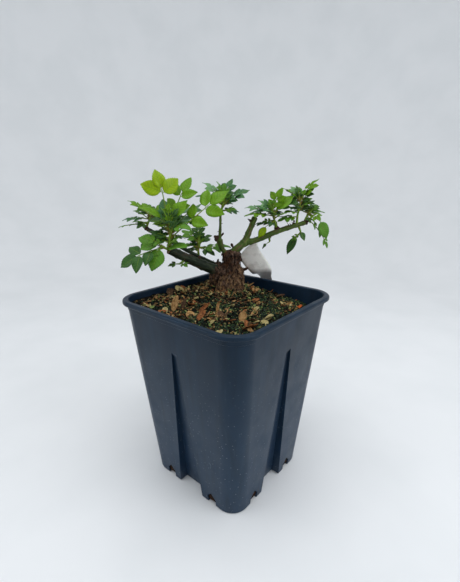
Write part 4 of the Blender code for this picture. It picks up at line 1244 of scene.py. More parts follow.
            def place(across: float, run: float) -> Vector:
                low = max(share - run * length, -0.02)
                radius = self.girth(low)
                taper = 1.0 - 0.6 * abs(run * 2 - 1) ** 3
                around = turn + lean * run + across * half * taper / radius
                return self.point(around, low, 0.0002 + peel * run ** 1.6 + 0.0002 * across * across)

            skin.sheet(6, 2, place, finish)
        item = skin.piece("bark_flakes", [OLD_BARK, BAST_FIBRE], "old_bark", sharp=80.0, closed=False)
        thicken(item, 0.00028)

    def _fibres(self) -> None:
        """Add the loose tan fibres that hang about the stump's foot."""
        rng = random.Random(43)
        skin = Skin()
        for _ in range(self.fibres):
            turn = rng.uniform(-math.pi, math.pi)
            share = rng.betavariate(1.1, 2.2) * 0.85
            length = rng.uniform(0.08, 0.30)
            radius = rng.uniform(0.00012, 0.00034)
            lift = rng.uniform(0.0002, 0.0026)
            sway = rng.gauss(0.0, 0.35)
            stations = []
            for step in range(4):
                run = step / 3
                low = max(share - run * length, 0.0)
                arch = lift * math.sin(math.pi * min(run * 0.8 + 0.1, 1.0))
                spot = self.point(turn + sway * run * run, low, arch + radius)
                stations.append((tuple(spot), radius * (1.0 - 0.5 * run)))
            skin.tube(smooth_path(stations, 3), 4)
        skin.piece("bast_fibres", [BAST_FIBRE], "old_bark", sharp=80.0)

    def _burls(self) -> None:
        """Add the lumps of old bark that close over the canes' feet, and dead stubs."""
        skin = Skin()
        for burl in self.burls:
            centre = Vector(burl.spot)
            axis = direction(burl.heading, burl.rise)
            rings = []
            for row in range(1, self.burl_rows):
                turn = math.pi * row / self.burl_rows
                ring = []
                for side in range(2 * self.burl_rows):
                    way = direction(180.0 * side / self.burl_rows, math.degrees(turn) - 90.0)
                    way += axis * (way.dot(axis) * (burl.stretch - 1.0))
                    spot = centre + way * burl.radius
                    lump = 0.20 * grain(spot, 0.0050, 8.0) + 0.16 * grain(spot, 0.0022, 13.0)
                    lump -= 0.14 * abs(grain(spot, 0.0014, 17.0))
                    ring.append(centre + way * burl.radius * (1.0 + lump))
                rings.append(ring)
            skin.sweep(rings, burl.finish)
        skin.piece("stump_burls", [OLD_BARK, DRY_KNOT], "old_bark", sharp=75.0)

    def build(self) -> None:
        """Build the stump, its burls, its flakes and its fibres."""
        self._bark()
        self._burls()
        self._strips()
        self._fibres()


@dataclass(frozen=True)
class Knot:
    """A dead bud, snag or bud union on a cane: where, which way, and how large."""

    at: float
    heading: float
    rise: float
    radius: float
    length: float


@dataclass(frozen=True)
class Spine:
    """A prickle: how far along its cane, which way it points, and how long it is."""

    at: float
    heading: float
    rise: float
    length: float


@dataclass(frozen=True)
class Cane:
    """One bare cane: a tapering limb with bud scars, knots, prickles and a pruned tip."""

    name: str
    stations: tuple[Station, ...]
    rind: Finish
    scars: tuple[float, ...]
    knots: tuple[Knot, ...] = ()
    spines: tuple[Spine, ...] = ()
    sides: int = 18
    steps: int = 14
    scar_swell: float = 0.14
    scar_reach: float = 0.0016

    def path(self) -> Path:
        """Return the cane's smooth centreline with its radii."""
        return smooth_path(self.stations, self.steps)

    def at(self, share: float) -> tuple[Vector, Vector, float]:
        """Return the place, direction and radius a share of the way along."""
        path = self.path()
        spans = len(path) - 1
        index = min(int(share * spans), spans - 1)
        (start, start_radius), (end, end_radius) = path[index:index + 2]
        run = share * spans - index
        return start.lerp(end, run), (end - start).normalized(), blend(start_radius, end_radius, run)

    def build(self) -> None:
        """Build the cane's rind with its scars, ridges and cut end."""
        path = self.path()
        scars = [self.at(share)[0] for share in self.scars]
        rings = []
        for ring, (centre, radius) in zip(tube_rings(path, self.sides), path):
            swell = sum(math.exp(-((centre - scar).length / self.scar_reach) ** 2) for scar in scars)
            grown = []
            for spot in ring:
                way = (spot - centre).normalized()
                relief = 0.07 * grain(spot, 0.006, 4.0) + 0.05 * grain(Vector((way.x, way.y, centre.z * 0.02)), 0.7)
                grown.append(centre + way * radius * (1.0 + self.scar_swell * swell + relief))
            rings.append(grown)
        skin = Skin()
        cut = skin.sweep(rings, 0, 1)[-1]
        bmesh.ops.inset_region(skin.bm, faces=[cut], thickness=path[-1][1] * 0.25, depth=-path[-1][1] * 0.12)
        skin.piece(self.name + "_rind", [self.rind, CUT_WOOD], "cane_bark", [self.name], sharp=45.0)


CANES: tuple[Cane, ...] = (
    Cane("cane_left_thick", (
        ((-0.0335, 0.0400, 0.2420), 0.0068), ((-0.0423, 0.0245, 0.2465), 0.0064),
        ((-0.0500, -0.0040, 0.2610), 0.0056), ((-0.0594, -0.0308, 0.2762), 0.0047)),
        DARK_RIND, (0.34, 0.52, 0.71, 0.88),
        (Knot(0.985, 150, 60, 0.0024, 0.0050), Knot(0.62, 60, 50, 0.0015, 0.0022)),
        (Spine(0.45, 70, 70, 0.0022), Spine(0.57, -60, -20, 0.0022), Spine(0.80, -80, 10, 0.0022))),
    Cane("cane_left_thin", (
        ((-0.0340, 0.0430, 0.2446), 0.0030), ((-0.0456, 0.0374, 0.2484), 0.0027),
        ((-0.0649, 0.0236, 0.2586), 0.0024), ((-0.0905, 0.0030, 0.2764), 0.0023),
        ((-0.1149, -0.0162, 0.2930), 0.0026)),
        DARK_RIND, (0.28, 0.47, 0.63, 0.79, 0.92),
        (Knot(0.30, 40, 70, 0.0013, 0.0042), Knot(0.995, 200, 40, 0.0026, 0.0024)),
        (Spine(0.36, 0, 60, 0.0024), Spine(0.55, 60, 50, 0.0020), Spine(0.70, -80, -30, 0.0022))),
    Cane("cane_middle", (
        ((-0.0335, 0.0400, 0.2640), 0.0032), ((-0.0370, 0.0338, 0.2705), 0.0028),
        ((-0.0386, 0.0302, 0.2815), 0.0039), ((-0.0378, 0.0299, 0.2860), 0.0019),
        ((-0.0368, 0.0298, 0.2990), 0.0015), ((-0.0362, 0.0296, 0.3120), 0.0014)),
        OLIVE_RIND, (0.72, 0.90),
        (Knot(0.42, 200, 30, 0.0036, 0.0026), Knot(0.50, 40, 55, 0.0012, 0.0050)),
        (Spine(0.70, 215, -8, 0.0024), Spine(0.84, 60, 5, 0.0020)), sides=14),
    Cane("cane_right_stub", (
        ((-0.0300, 0.0430, 0.2640), 0.0058), ((-0.0260, 0.0478, 0.2705), 0.0050),
        ((-0.0220, 0.0574, 0.2788), 0.0041), ((-0.0196, 0.0650, 0.2930), 0.0034),
        ((-0.0175, 0.0717, 0.3065), 0.0033)),
        OLIVE_RIND, (0.46, 0.66, 0.84, 0.97),
        (Knot(0.90, 225, 30, 0.0014, 0.0034), Knot(0.16, 210, 62, 0.0016, 0.0036), Knot(0.985, 60, 60, 0.0024, 0.0014)),
        (Spine(0.60, -150, 10, 0.0020),)),
    Cane("cane_right_long", (
        ((-0.0222, 0.0575, 0.2766), 0.0038), ((-0.0120, 0.0712, 0.2808), 0.0036),
        ((0.0027, 0.0915, 0.2897), 0.0033), ((0.0135, 0.1080, 0.2949), 0.0029),
        ((0.0237, 0.1224, 0.2993), 0.0027)),
        OLIVE_RIND, (0.12, 0.31, 0.49, 0.66, 0.82, 0.95),
        (Knot(0.50, 195, 76, 0.0029, 0.0082), Knot(0.985, 50, 20, 0.0028, 0.0016), Knot(0.78, 120, 70, 0.0016, 0.0034)),
        (Spine(0.70, 130, 72, 0.0034), Spine(0.735, 150, 66, 0.0030), Spine(0.78, 190, 60, 0.0034),
         Spine(0.40, -30, -48, 0.0030), Spine(0.22, 160, 60, 0.0020), Spine(0.58, -60, 40, 0.0022),
         Spine(0.86, -60, -30, 0.0024))),
    Cane("cane_back_short", (
        ((-0.0224, 0.0570, 0.2740), 0.0026), ((-0.0214, 0.0690, 0.2765), 0.0024),
        ((-0.0185, 0.0840, 0.2790), 0.0022), ((-0.0144, 0.0979, 0.2812), 0.0018)),
        OLIVE_RIND, (0.30, 0.70), (), (Spine(0.80, 40, -40, 0.0018),), sides=14),
)
CANE_BY_NAME = {cane.name: cane for cane in CANES}


@dataclass(frozen=True)
class Snags:
    """The knots and prickles of all the canes, each kind as one piece."""

    canes: tuple[Cane, ...]
    spine_base: float = 0.26
    knot_steps: int = 6

    def _spine(self, skin: Skin, cane: Cane, spine: Spine) -> None:
        """Add one prickle, broad at its foot and hooked down towards the stump."""
        place, along, radius = cane.at(spine.at)
        way = direction(spine.heading, spine.rise)
        way = (way - along * way.dot(along)).normalized()
        foot = place + way * radius * 0.8
        stations = []
        for step in range(5):
            share = step / 4
            spot = foot + way * (spine.length * share) - along * (0.35 * spine.length * share * share)
            stations.append((tuple(spot), max(spine.length * self.spine_base * (1 - share) ** 0.8, 0.00004)))
        skin.tube(smooth_path(stations, 2), 7)

    def _knot(self, skin: Skin, cane: Cane, knot: Knot, rng: random.Random) -> None:
        """Add one knot: a lumpy stub that stands out of its cane."""
        place, _, radius = cane.at(min(knot.at, 1.0))
        way = direction(knot.heading, knot.rise)
        start = place + way * (radius * 0.3)
        stations = []
        for step in range(self.knot_steps + 1):
            share = step / self.knot_steps
            girth = knot.radius * (1.0 + 0.25 * math.sin(share * 7 + knot.heading) - 0.25 * share)
            girth *= 1.0 if step < self.knot_steps else 0.55
            drift = Vector((rng.uniform(-1, 1), rng.uniform(-1, 1), rng.uniform(-1, 1))) * knot.radius * 0.12
            stations.append((tuple(start + way * ((radius + knot.length) * share) + drift), girth))
        rings = []
        path = smooth_path(stations, 2)
        for ring, (centre, _) in zip(tube_rings(path, 10), path):
            rings.append([centre + (spot - centre) * (1.0 + 0.3 * grain(spot, 0.0016, 6.0)) for spot in ring])
        skin.sweep(rings)

    def build(self) -> None:
        """Build the knots and the prickles."""
        rng = random.Random(53)
        knots = Skin()
        spines = Skin()
        for cane in self.canes:
            for knot in cane.knots:
                self._knot(knots, cane, knot, rng)
            for spine in cane.spines:
                self._spine(spines, cane, spine)
        knots.piece("cane_knots", [DRY_KNOT], "old_bark", sharp=70.0)
        spines.piece("prickles", [PRICKLE], "cane_bark", sharp=60.0)


@dataclass(frozen=True)
class BlankLabel:
    """The plant label: a curled blank panel on a strap looped round a cane."""

    stations: tuple[tuple[tuple[float, float, float], float, tuple[float, float, float]], ...] = (
        ((-0.0211, 0.0798, 0.2754), 0.0030, (0.25, 0.95, 0.15)),
        ((-0.0262, 0.0775, 0.2705), 0.0080, (0.52, 0.70, 0.30)),
        ((-0.0288, 0.0758, 0.2620), 0.0136, (0.65, 0.55, 0.50)),
        ((-0.0250, 0.0825, 0.2505), 0.0138, (0.65, 0.55, 0.50)),
        ((-0.0208, 0.0922, 0.2385), 0.0130, (0.68, 0.53, 0.46)),
        ((-0.0202, 0.0995, 0.2325), 0.0102, (0.85, 0.35, 0.22)),
        ((-0.0214, 0.1049, 0.2260), 0.0080, (0.94, 0.28, 0.10)),
        ((-0.0209, 0.1104, 0.2160), 0.0070, (0.96, 0.25, 0.05)),
        ((-0.0205, 0.1126, 0.2040), 0.0066, (0.97, 0.22, 0.00)))
    thickness: float = 0.0008
    film: float = 0.00045
    columns: int = 8
    rows: int = 64
    cupping: float = 0.0006
    strap_cane: str = "cane_back_short"
    strap_at: float = 0.56
    strap_width: float = 0.0050
    strap_steps: int = 40

    def _spot(self, across: float, share: float) -> Vector:
        """Return a point on the panel's outer face."""
        centres = smooth_path([(centre, half) for centre, half, _ in self.stations], 8)
        spans = len(self.stations) - 1
        run = share * spans
        station = min(int(run), spans - 1)
        ways = [Vector(way).normalized() for _, _, way in self.stations[station:station + 2]]
        way = ways[0].lerp(ways[1], run - station).normalized()
        index = min(int(share * (len(centres) - 1)), len(centres) - 2)
        (start, half), (end, far_half) = centres[index:index + 2]
        step = share * (len(centres) - 1) - index
        out = (end - start).cross(way).normalized()
        centre = start.lerp(end, step)
        return centre + way * (across * blend(half, far_half, step)) + out * (self.cupping * (1.0 - across * across))

    def build(self) -> None:
        """Build the panel as one thin sheet and the strap as a hoop."""
        panel = Skin()
        panel.sheet(self.rows, self.columns, self._spot)
        item = panel.piece("label_panel", [LABEL_FILM], "label_plastic", ["plant_label"], sharp=50.0, closed=False)
        thicken(item, self.film)
        place, along, radius = CANE_BY_NAME[self.strap_cane].at(self.strap_at)
        side = along.orthogonal().normalized()
        inner = radius + 2 * GAP
        strap = Skin()
        corners = [place + side * (inner + rise) + along * (run * self.strap_width / 2)
                   for rise, run in ((0.0, -1), (self.film, -1), (self.film, 1), (0.0, 1))]
        verts = bmesh.ops.create_circle(strap.bm, segments=4, radius=1.0)["verts"]
        for vert, spot in zip(verts, corners):
            vert.co = spot
        edges = list({edge for vert in verts for edge in vert.link_edges})
        bmesh.ops.spin(strap.bm, geom=verts + edges, cent=place, axis=along, angle=2 * math.pi,
                       steps=self.strap_steps, use_merge=True)
        strap.piece("label_strap", [LABEL_FILM], "label_plastic", ["plant_label"], sharp=40.0)


# Foliage

@dataclass(frozen=True)
class Leaf:
    """One compound leaf on a mass's stem.

    Attributes:
        at: the share of the stem's length at which it stands.
        heading: its heading in degrees.
        rise: its rise in degrees.
        length: its length from foot to tip.
        tint: its colour.
        pairs: how many pairs of leaflets it has.
        droop: how many degrees it bends down over its length.
        face: 0 where its blades lie level, 1 where they look at the front.
        petiole: the share of its length that is bare stalk.
        lateral: how large its side leaflets are beside the usual.
        breadth: how broad its leaflets are beside the usual.
    """

    at: float
    heading: float
    rise: float
    length: float
    tint: Tint = Tint.GREEN
    pairs: int = 2
    droop: float = 20.0
    face: float = 0.20
    petiole: float = 0.26
    lateral: float = 1.0
    breadth: float = 1.0


@dataclass(frozen=True)
class Mass:
    """One mass of foliage: its cane, how its stem grows, and the leaves it bears."""

    name: str
    cane: str
    at: float
    heading: float
    rise: float
    length: float
    fill: int
    fill_tint: Tint
    leaves: tuple[Leaf, ...]


MASSES: tuple[Mass, ...] = (
    Mass("foliage_left_top", "cane_left_thick", 0.97, 150, 86, 0.0215, 3, Tint.DEEP, (
        Leaf(1.00, -167, 77, 0.060, Tint.LIME, pairs=1, droop=10, face=0.40, petiole=0.46, lateral=1.38, breadth=1.12),
        Leaf(0.36, 44, 39, 0.081, Tint.BRIGHT, droop=0, face=0.60, petiole=0.38),
        Leaf(0.80, 81, 61, 0.063, Tint.BRIGHT, face=0.40, petiole=0.36),
        Leaf(0.92, 11, 3, 0.029, Tint.GREEN, pairs=1, face=0.35),
        Leaf(0.60, 76, 35, 0.055, Tint.PALE, face=0.0, petiole=0.34),
        Leaf(0.55, 68, 26, 0.043, Tint.DEEP, face=0.40, petiole=0.36),
        Leaf(0.75, 172, 64, 0.037, Tint.BLUE, pairs=1, face=0.40),
        Leaf(0.30, -161, 18, 0.028, Tint.DEEP, face=0.30),
        Leaf(0.12, -148, 10, 0.027, Tint.DEEP, face=0.30),
        Leaf(0.96, -147, 40, 0.038, Tint.BRIGHT, pairs=0, face=0.30, petiole=0.22),
        Leaf(0.96, 52, 57, 0.034, Tint.BRIGHT, pairs=0, face=0.50, petiole=0.22, breadth=1.1),
        Leaf(0.45, 72, -7, 0.019, Tint.DEEP, pairs=1))),
    Mass("foliage_left_low", "cane_left_thick", 1.00, -110, 28, 0.0090, 0, Tint.GREEN, (
        Leaf(1.00, -92, -54, 0.029, Tint.GREEN, pairs=0, face=0.50, petiole=0.02, breadth=1.25),
        Leaf(0.70, -130, -21, 0.053, Tint.DEEP, face=0.60),
        Leaf(0.60, -149, 18, 0.037, Tint.GREEN, pairs=1, face=0.50, petiole=0.10),
        Leaf(0.30, 5, 16, 0.029, Tint.GREEN, pairs=0, face=0.30, petiole=0.05))),
    Mass("foliage_left_tip", "cane_left_thin", 1.00, 60, 66, 0.0165, 3, Tint.DEEP, (
        Leaf(1.00, -148, 36, 0.033, Tint.BRIGHT, face=0.05),
        Leaf(0.72, -140, 0, 0.034, Tint.BLUE, face=0.10),
        Leaf(0.40, -133, -6, 0.036, Tint.GREEN, pairs=3, droop=10, face=0.0),
        Leaf(0.50, -109, -17, 0.018, Tint.DEEP, pairs=1, face=0.60),
        Leaf(0.60, 69, -11, 0.030, Tint.DEEP, face=0.30),
        Leaf(0.16, 59, -27, 0.028, Tint.DEEP, face=0.30))),
    Mass("foliage_left_mid", "cane_left_thin", 0.52, 120, 74, 0.0150, 3, Tint.DEEP, (
        Leaf(0.55, 34, 3, 0.040, Tint.GREEN, droop=0, face=0.20),
        Leaf(0.80, 71, 32, 0.021, Tint.DEEP, pairs=1, face=0.30),
        Leaf(0.55, 13, -18, 0.024, Tint.DEEP, pairs=1, face=0.40),
        Leaf(1.00, 138, 58, 0.026, Tint.DEEP, face=0.20),
        Leaf(0.90, -160, 34, 0.028, Tint.GREEN, face=0.40),
        Leaf(0.20, -167, 5, 0.022, Tint.DEEP, face=0.20))),
    Mass("foliage_left_bud", "cane_left_thick", 0.75, -92, -24, 0.0050, 0, Tint.GREEN, (
        Leaf(1.00, -128, -4, 0.014, Tint.DEEP, pairs=1, face=0.40),
        Leaf(0.70, -10, -4, 0.014, Tint.GREEN, pairs=1, face=0.40))),
    Mass("foliage_middle", "cane_middle", 1.00, 47, 72, 0.0140, 2, Tint.BLUE, (
        Leaf(0.92, -149, 44, 0.033, Tint.PALE, face=0.20),
        Leaf(1.00, 88, 62, 0.029, Tint.BLUE, face=0.20),
        Leaf(0.66, -132, 22, 0.033, Tint.BLUE, face=0.20),
        Leaf(0.85, 8, 67, 0.019, Tint.GREEN, pairs=1, face=0.40),
        Leaf(0.72, 44, 30, 0.035, Tint.BLUE, face=0.35),
        Leaf(0.20, 65, -2, 0.024, Tint.BLUE, face=0.40),
        Leaf(0.80, -150, 50, 0.018, Tint.GREEN, pairs=1, face=0.40),
        Leaf(0.50, 116, 16, 0.032, Tint.DEEP, face=0.20))),
    Mass("foliage_right_in", "cane_right_long", 0.50, -127, 72, 0.0200, 2, Tint.BLUE, (
        Leaf(0.78, -127, 3, 0.037, Tint.BRIGHT, face=0.10),
        Leaf(1.00, -156, 11, 0.036, Tint.PALE, face=0.20),
        Leaf(1.00, -160, 56, 0.020, Tint.BLUE, pairs=1, face=0.40),
        Leaf(1.00, 53, 71, 0.031, Tint.BRIGHT, face=0.50),
        Leaf(0.70, -64, 27, 0.019, Tint.BRIGHT, pairs=1, face=0.50),
        Leaf(0.90, 30, 44, 0.032, Tint.BRIGHT, pairs=0, face=0.50, petiole=0.10),
        Leaf(0.50, -125, -39, 0.030, Tint.LIME, pairs=0, droop=40, face=0.70, petiole=0.40),
        Leaf(0.38, -151, -56, 0.022, Tint.DEEP, pairs=1, face=0.70),
        Leaf(0.30, -156, -3, 0.029, Tint.DEEP, face=0.10),
        Leaf(0.60, -12, 27, 0.020, Tint.BRIGHT, pairs=1),
        Leaf(0.90, 66, 30, 0.043, Tint.DEEP, face=0.20),
        Leaf(0.95, -164, 40, 0.025, Tint.PALE, pairs=1))),
    Mass("foliage_right_out", "cane_right_long", 0.83, 60, 84, 0.0255, 3, Tint.DEEP, (
        Leaf(1.00, 61, 50, 0.036, Tint.BRIGHT, face=0.0),
        Leaf(0.98, -140, 37, 0.029, Tint.BRIGHT, face=0.0),
        Leaf(1.00, 165, 43, 0.027, Tint.PALE, face=0.10),
        Leaf(0.60, -120, 8, 0.020, Tint.BLUE, face=0.20),
        Leaf(0.80, 68, 51, 0.027, Tint.DEEP, face=0.20),
        Leaf(0.26, -117, -8, 0.029, Tint.GREEN, face=0.25),
        Leaf(0.75, -168, 11, 0.028, Tint.DEEP, face=0.20),
        Leaf(0.60, 69, 24, 0.027, Tint.DEEP, face=0.20),
        Leaf(0.45, -112, 4, 0.022, Tint.BRIGHT, pairs=1))),
    Mass("foliage_right_tip", "cane_right_long", 0.97, 70, 60, 0.0090, 2, Tint.GREEN, (
        Leaf(0.90, 28, -47, 0.041, Tint.GREEN, pairs=0, droop=60, face=0.80, petiole=0.35),
        Leaf(0.30, 47, -50, 0.051, Tint.GREEN, pairs=3, droop=30, face=0.40),
        Leaf(1.00, 81, 29, 0.021, Tint.DEEP, face=0.30),
        Leaf(0.60, -33, -40, 0.012, Tint.DEEP, pairs=1, face=0.20))),
    Mass("foliage_right_hang", "cane_right_long", 0.86, 30, -66, 0.0070, 0, Tint.DEEP, (
        Leaf(1.00, -133, -54, 0.032, Tint.DEEP, pairs=0, droop=10, face=0.40, petiole=0.14, breadth=0.75),
        Leaf(0.60, 4, -60, 0.014, Tint.DEEP, pairs=0, face=0.50, petiole=0.05))),
    Mass("foliage_right_bud", "cane_right_long", 0.40, 120, -70, 0.0060, 0, Tint.DEEP, (
        Leaf(1.00, -154, -42, 0.013, Tint.DEEP, pairs=0, face=0.40),)),
)


@dataclass(frozen=True)
class Blade:
    """One leaflet's place: its foot, the way it points, the way it faces, and its size."""

    root: Vector
    forward: Vector
    normal: Vector
    length: float
    width: float


@dataclass(frozen=True)
class Spray:
    """One whole leaf in place: the joints of its stalk and its blades."""

    leaf: Leaf
    joints: tuple[Vector, ...]
    blades: tuple[Blade, ...]


@dataclass
class Foliage:
    """Every mass of foliage, grown by the rule that its solid grew by and carried on finer."""

    masses: tuple[Mass, ...]
    pair_step: float = 0.24
    pair_stagger: float = 0.02
    end_stalk: float = 0.06
    petiole_radius: float = 0.0008
    lateral_angle: float = 58.0
    lateral_size: tuple[float, float] = (0.80, 0.92)
    blade_width: float = 0.66
    leaflet_stalk: float = 0.07
    blade_arch: float = 0.14
    blade_rows: tuple[tuple[float, float], ...] = ((0.30, 0.90), (0.68, 0.88))
    front_heading: float = -50.0
    front_rise: float = 20.0
    stem_radius: float = 0.0014
    leaf_tries: tuple[float, ...] = (0.0, 7.0, -7.0, 14.0, -14.0, 22.0, -22.0)
    fill_turn: float = 137.5
    fill_length: tuple[float, float] = (0.026, 0.040)
    fill_rise: tuple[float, float] = (-12.0, 22.0)
    fill_heading: tuple[float, float] = (85.0, 180.0)
    cane_steps: int = 3
    teeth: int = 12
    blade_columns: int = 4
    leaf_thickness: float = 0.00025
    young_share: float = 0.70
    young_length: tuple[float, float] = (0.50, 0.85)
    crowding: int = 4

    def __post_init__(self) -> None:
        """Start one skin for each tint and one each for stalks, stems and stipules."""
        self.blades = {tint: Skin() for tint in Tint}
        self.used = {tint: set() for tint in Tint}
        self.stalks = Skin()
        self.stems = Skin()
        self.placed: list[BVHTree] = []
        self.rng = random.Random(61)

    def _leaf_normal(self, way: Vector, face: float) -> Vector:
        """Return the direction that a leaf's upper face looks in."""
        sky = UP.lerp(direction(self.front_heading, self.front_rise), face).normalized()
        lean = sky - way * way.dot(sky)
        if lean.length < 0.25:
            lean = direction(self.front_heading, 90.0 - self.front_rise)
            lean -= way * way.dot(lean)
        return lean.normalized()

    def _spray(self, base: Vector, leaf: Leaf) -> Spray:
        """Work out a leaf's stalk and where its blades stand."""
        if leaf.pairs > 1:
            steps = [leaf.petiole] + [self.pair_step] * (leaf.pairs - 1) + [self.end_stalk]
        elif leaf.pairs:
            steps = [leaf.petiole + self.pair_step / 2, self.end_stalk]
        else:
            steps = [leaf.petiole + self.end_stalk]
        joints = [base]
        ways = []
        run = 0.0
        for step in steps:
            ways.append(direction(leaf.heading, leaf.rise + leaf.droop * (0.5 - run - step / 2)))
            joints.append(joints[-1] + ways[-1] * (step * leaf.length))
            run += step
        end_way = direction(leaf.heading, leaf.rise + leaf.droop * (0.5 - (1.0 + run) / 2))
        terminal = (1.0 - run) * leaf.length
        width = self.blade_width * leaf.breadth
        blades = []
        for number, joint in enumerate(joints[1:-1]):
            way = ways[number]
            normal = self._leaf_normal(way, leaf.face)
            size = terminal * leaf.lateral * blend(*self.lateral_size, number / max(leaf.pairs - 1, 1))
            for sign in (-1, 1):
                turned = Matrix.Rotation(math.radians(sign * self.lateral_angle), 3, normal) @ way
                root = joint + way * (sign * self.pair_stagger / 2 * leaf.length)
                blades.append(Blade(root, turned, normal, size, size * width))
        normal = self._leaf_normal(end_way, leaf.face)
        blades.append(Blade(joints[-1], end_way, normal, terminal, terminal * width))
        return Spray(leaf, tuple(joints), tuple(blades))

    def _coarse_blade(self, blade: Blade) -> BVHTree:
        """Return the tree of a blade's plain shape, a gap thick, to test for room."""
        side = blade.normal.cross(blade.forward).normalized()
        rings = [[blade.root - blade.forward * 0.0005] * 3]
        for share, spread in self.blade_rows:
            half = spread * blade.width / 2
            drop = self.blade_arch * blade.length * share * share
            centre = blade.root + blade.forward * (share * blade.length) - blade.normal * drop
            rings.append([centre + side * half, centre - side * half, centre - blade.normal * GAP])
        tip = blade.root + blade.forward * blade.length - blade.normal * (self.blade_arch * blade.length)
        rings.append([tip] * 3)
        skin = Skin()
        skin.sweep(rings)
        bmesh.ops.remove_doubles(skin.bm, verts=skin.bm.verts[:], dist=1e-6)
        tree = BVHTree.FromBMesh(skin.bm)
        skin.bm.free()
        return tree

    def _coarse_stalk(self, spray: Spray) -> BVHTree:
        """Return the tree of a leaf's stalk, a gap larger, to test for room."""
        skin = Skin()
        last = spray.joints[-1] + spray.blades[-1].forward * 0.001
        skin.tube([(joint, self.petiole_radius + GAP) for joint in (*spray.joints[:-1], last)], 3)
        tree = BVHTree.FromBMesh(skin.bm)
        skin.bm.free()
        return tree

    def _leaves(self, mass: Mass) -> list[Leaf]:
        """Return every leaf of a mass: its named leaves and its seeded fill."""
        rng = random.Random(mass.name)
        leaves = list(mass.leaves)
        low, high = self.fill_heading
        heading = rng.uniform(low, high)
        for index in range(mass.fill):
            at = blend(0.3, 1.0, (index + 1) / mass.fill)
            length = rng.uniform(*self.fill_length)
            leaves.append(Leaf(at, heading, rng.uniform(*self.fill_rise), length, mass.fill_tint, droop=25))
            heading = low + (heading + self.fill_turn - low) % (high - low)
        return leaves

    def _stem_ends(self, mass: Mass) -> tuple[Vector, Vector]:
        """Return where a mass's stem starts, on its cane's bark, and where it ends."""
        cane = replace(CANE_BY_NAME[mass.cane], steps=self.cane_steps)
        place, along, radius = cane.at(mass.at)
        way = direction(mass.heading, mass.rise)
        across = way.cross(along).length
        if mass.at >= 1.0:
            start = place + along * (1.3 * GAP + self.stem_radius * across)
        else:
            start = place + way * ((radius + GAP) / across + self.stem_radius * 0.2)
        return start, start + way * mass.length

    def _draw_blade(self, blade: Blade, tint: Tint) -> None:
        """Add one toothed leaflet: folded on its midrib, pleated at its veins and waved."""
        rng = self.rng
        side = blade.forward.cross(blade.normal).normalized()
        fold = rng.uniform(0.10, 0.34)
        twist = rng.uniform(-0.16, 0.16)
        sag = self.blade_arch * rng.uniform(0.85, 1.25)
        sway = rng.uniform(-0.05, 0.05)
        wave = rng.uniform(0.02, 0.06) * blade.width
        phase = rng.uniform(0.0, 6.3)
        half = blade.width / 2 * rng.uniform(0.84, 0.96)
        rows = self.teeth * 2

        def place(across: float, share: float) -> Vector:
            row = round(share * rows)
            rim = abs(across) > 0.9
            span = share
            if rim and 0 < row < rows:
                span = share + (0.40 / rows if row % 2 else -0.10 / rows)
            span = blend(self.leaflet_stalk, 1.0, span)
            spread = 3.16 * max(share, 0.0) ** 0.70 * max(1.0 - share, 0.0)
            spread *= (1.025 if row % 2 else 0.975) if rim else 1.0
            reach = across * half * spread
            lift = fold * abs(reach) + wave * abs(across) * math.sin(share * 9.0 + phase + (across > 0) * 2.0)
            pleat = 0.00036 if row % 2 and not rim and abs(across) > 0.1 else 0.0
            drop = sag * blade.length * span * span
            point = blade.root + blade.forward * (span * blade.length) + side * (reach + sway * blade.length * span ** 2)
            return point + blade.normal * (lift + pleat - drop + twist * reach * share)

        self.blades[tint].sheet(rows, self.blade_columns, place)
        foot = blade.root - blade.forward * 0.0002
        stations = [(tuple(foot), 0.00036), (tuple(foot.lerp(place(0.0, 0.0), 0.6)), 0.00030)]
        stations += [(tuple(place(0.0, share)), blend(0.00028, 0.00009, share)) for share in (0.1, 0.3, 0.5, 0.7, 0.9)]
        self.stalks.tube(smooth_path(stations, 2), 5)

    def _draw_spray(self, spray: Spray, mass: str) -> None:
        """Add a leaf's stalk, its stipules and its blades."""
        leaf = spray.leaf
        count = len(spray.joints)
        stations = []
        for index, joint in enumerate(spray.joints):
            share = index / (count - 1)
            stations.append((tuple(joint), blend(0.00078, 0.00034, share)))
        end = spray.blades[-1]
        stations.append((tuple(end.root + end.forward * 0.0012), 0.00022))
        self.stalks.tube(smooth_path(stations, 4), 6)
        for blade in spray.blades:
            self._draw_blade(blade, leaf.tint)
        self.used[leaf.tint].add(mass)
        if leaf.length > 0.022:
            self._draw_stipules(spray)

    def _draw_stipules(self, spray: Spray) -> None:
        """Add the pair of narrow wings that clasp the foot of a leaf stalk."""
        start, joint = spray.joints[:2]
        way = (joint - start).normalized()
        normal = self._leaf_normal(way, spray.leaf.face)
        side = way.cross(normal)
        length = min(0.0075, (joint - start).length * 0.75)
        for sign in (-1, 1):
            def place(across: float, share: float) -> Vector:
                half = 0.0006 * (1.0 - share) ** 0.5
                out = 0.0006 + half + 0.0013 * share ** 3
                return start + way * (share * length) + side * (sign * out + across * half) + normal * 0.0002

            self.blades[Tint.YOUNG].sheet(4, 1, place)
        self.used[Tint.YOUNG].add("foliage_left_top")

    def _draw_young(self, base: Vector, leaf: Leaf, mass: Mass) -> None:
        """Add the young leaves that unfold in a leaf's axil, smaller and steeper."""
        rng = self.rng
        for turn in (26.0, -34.0):
            if rng.random() < self.young_share:
                length = leaf.length * rng.uniform(*self.young_length)
                heading = leaf.heading + turn + rng.uniform(-22.0, 22.0)
                tint = rng.choice((mass.fill_tint,) * 3 + (Tint.GREEN,) * 2 + (Tint.BRIGHT,))
                young = Leaf(leaf.at, heading, min(leaf.rise + rng.uniform(0.0, 36.0), 84.0), min(length, 0.024), tint,
                             rng.choice((1, 1, 2)), face=leaf.face, petiole=0.34)
                self._draw_spray(self._spray(base, young), mass.name)

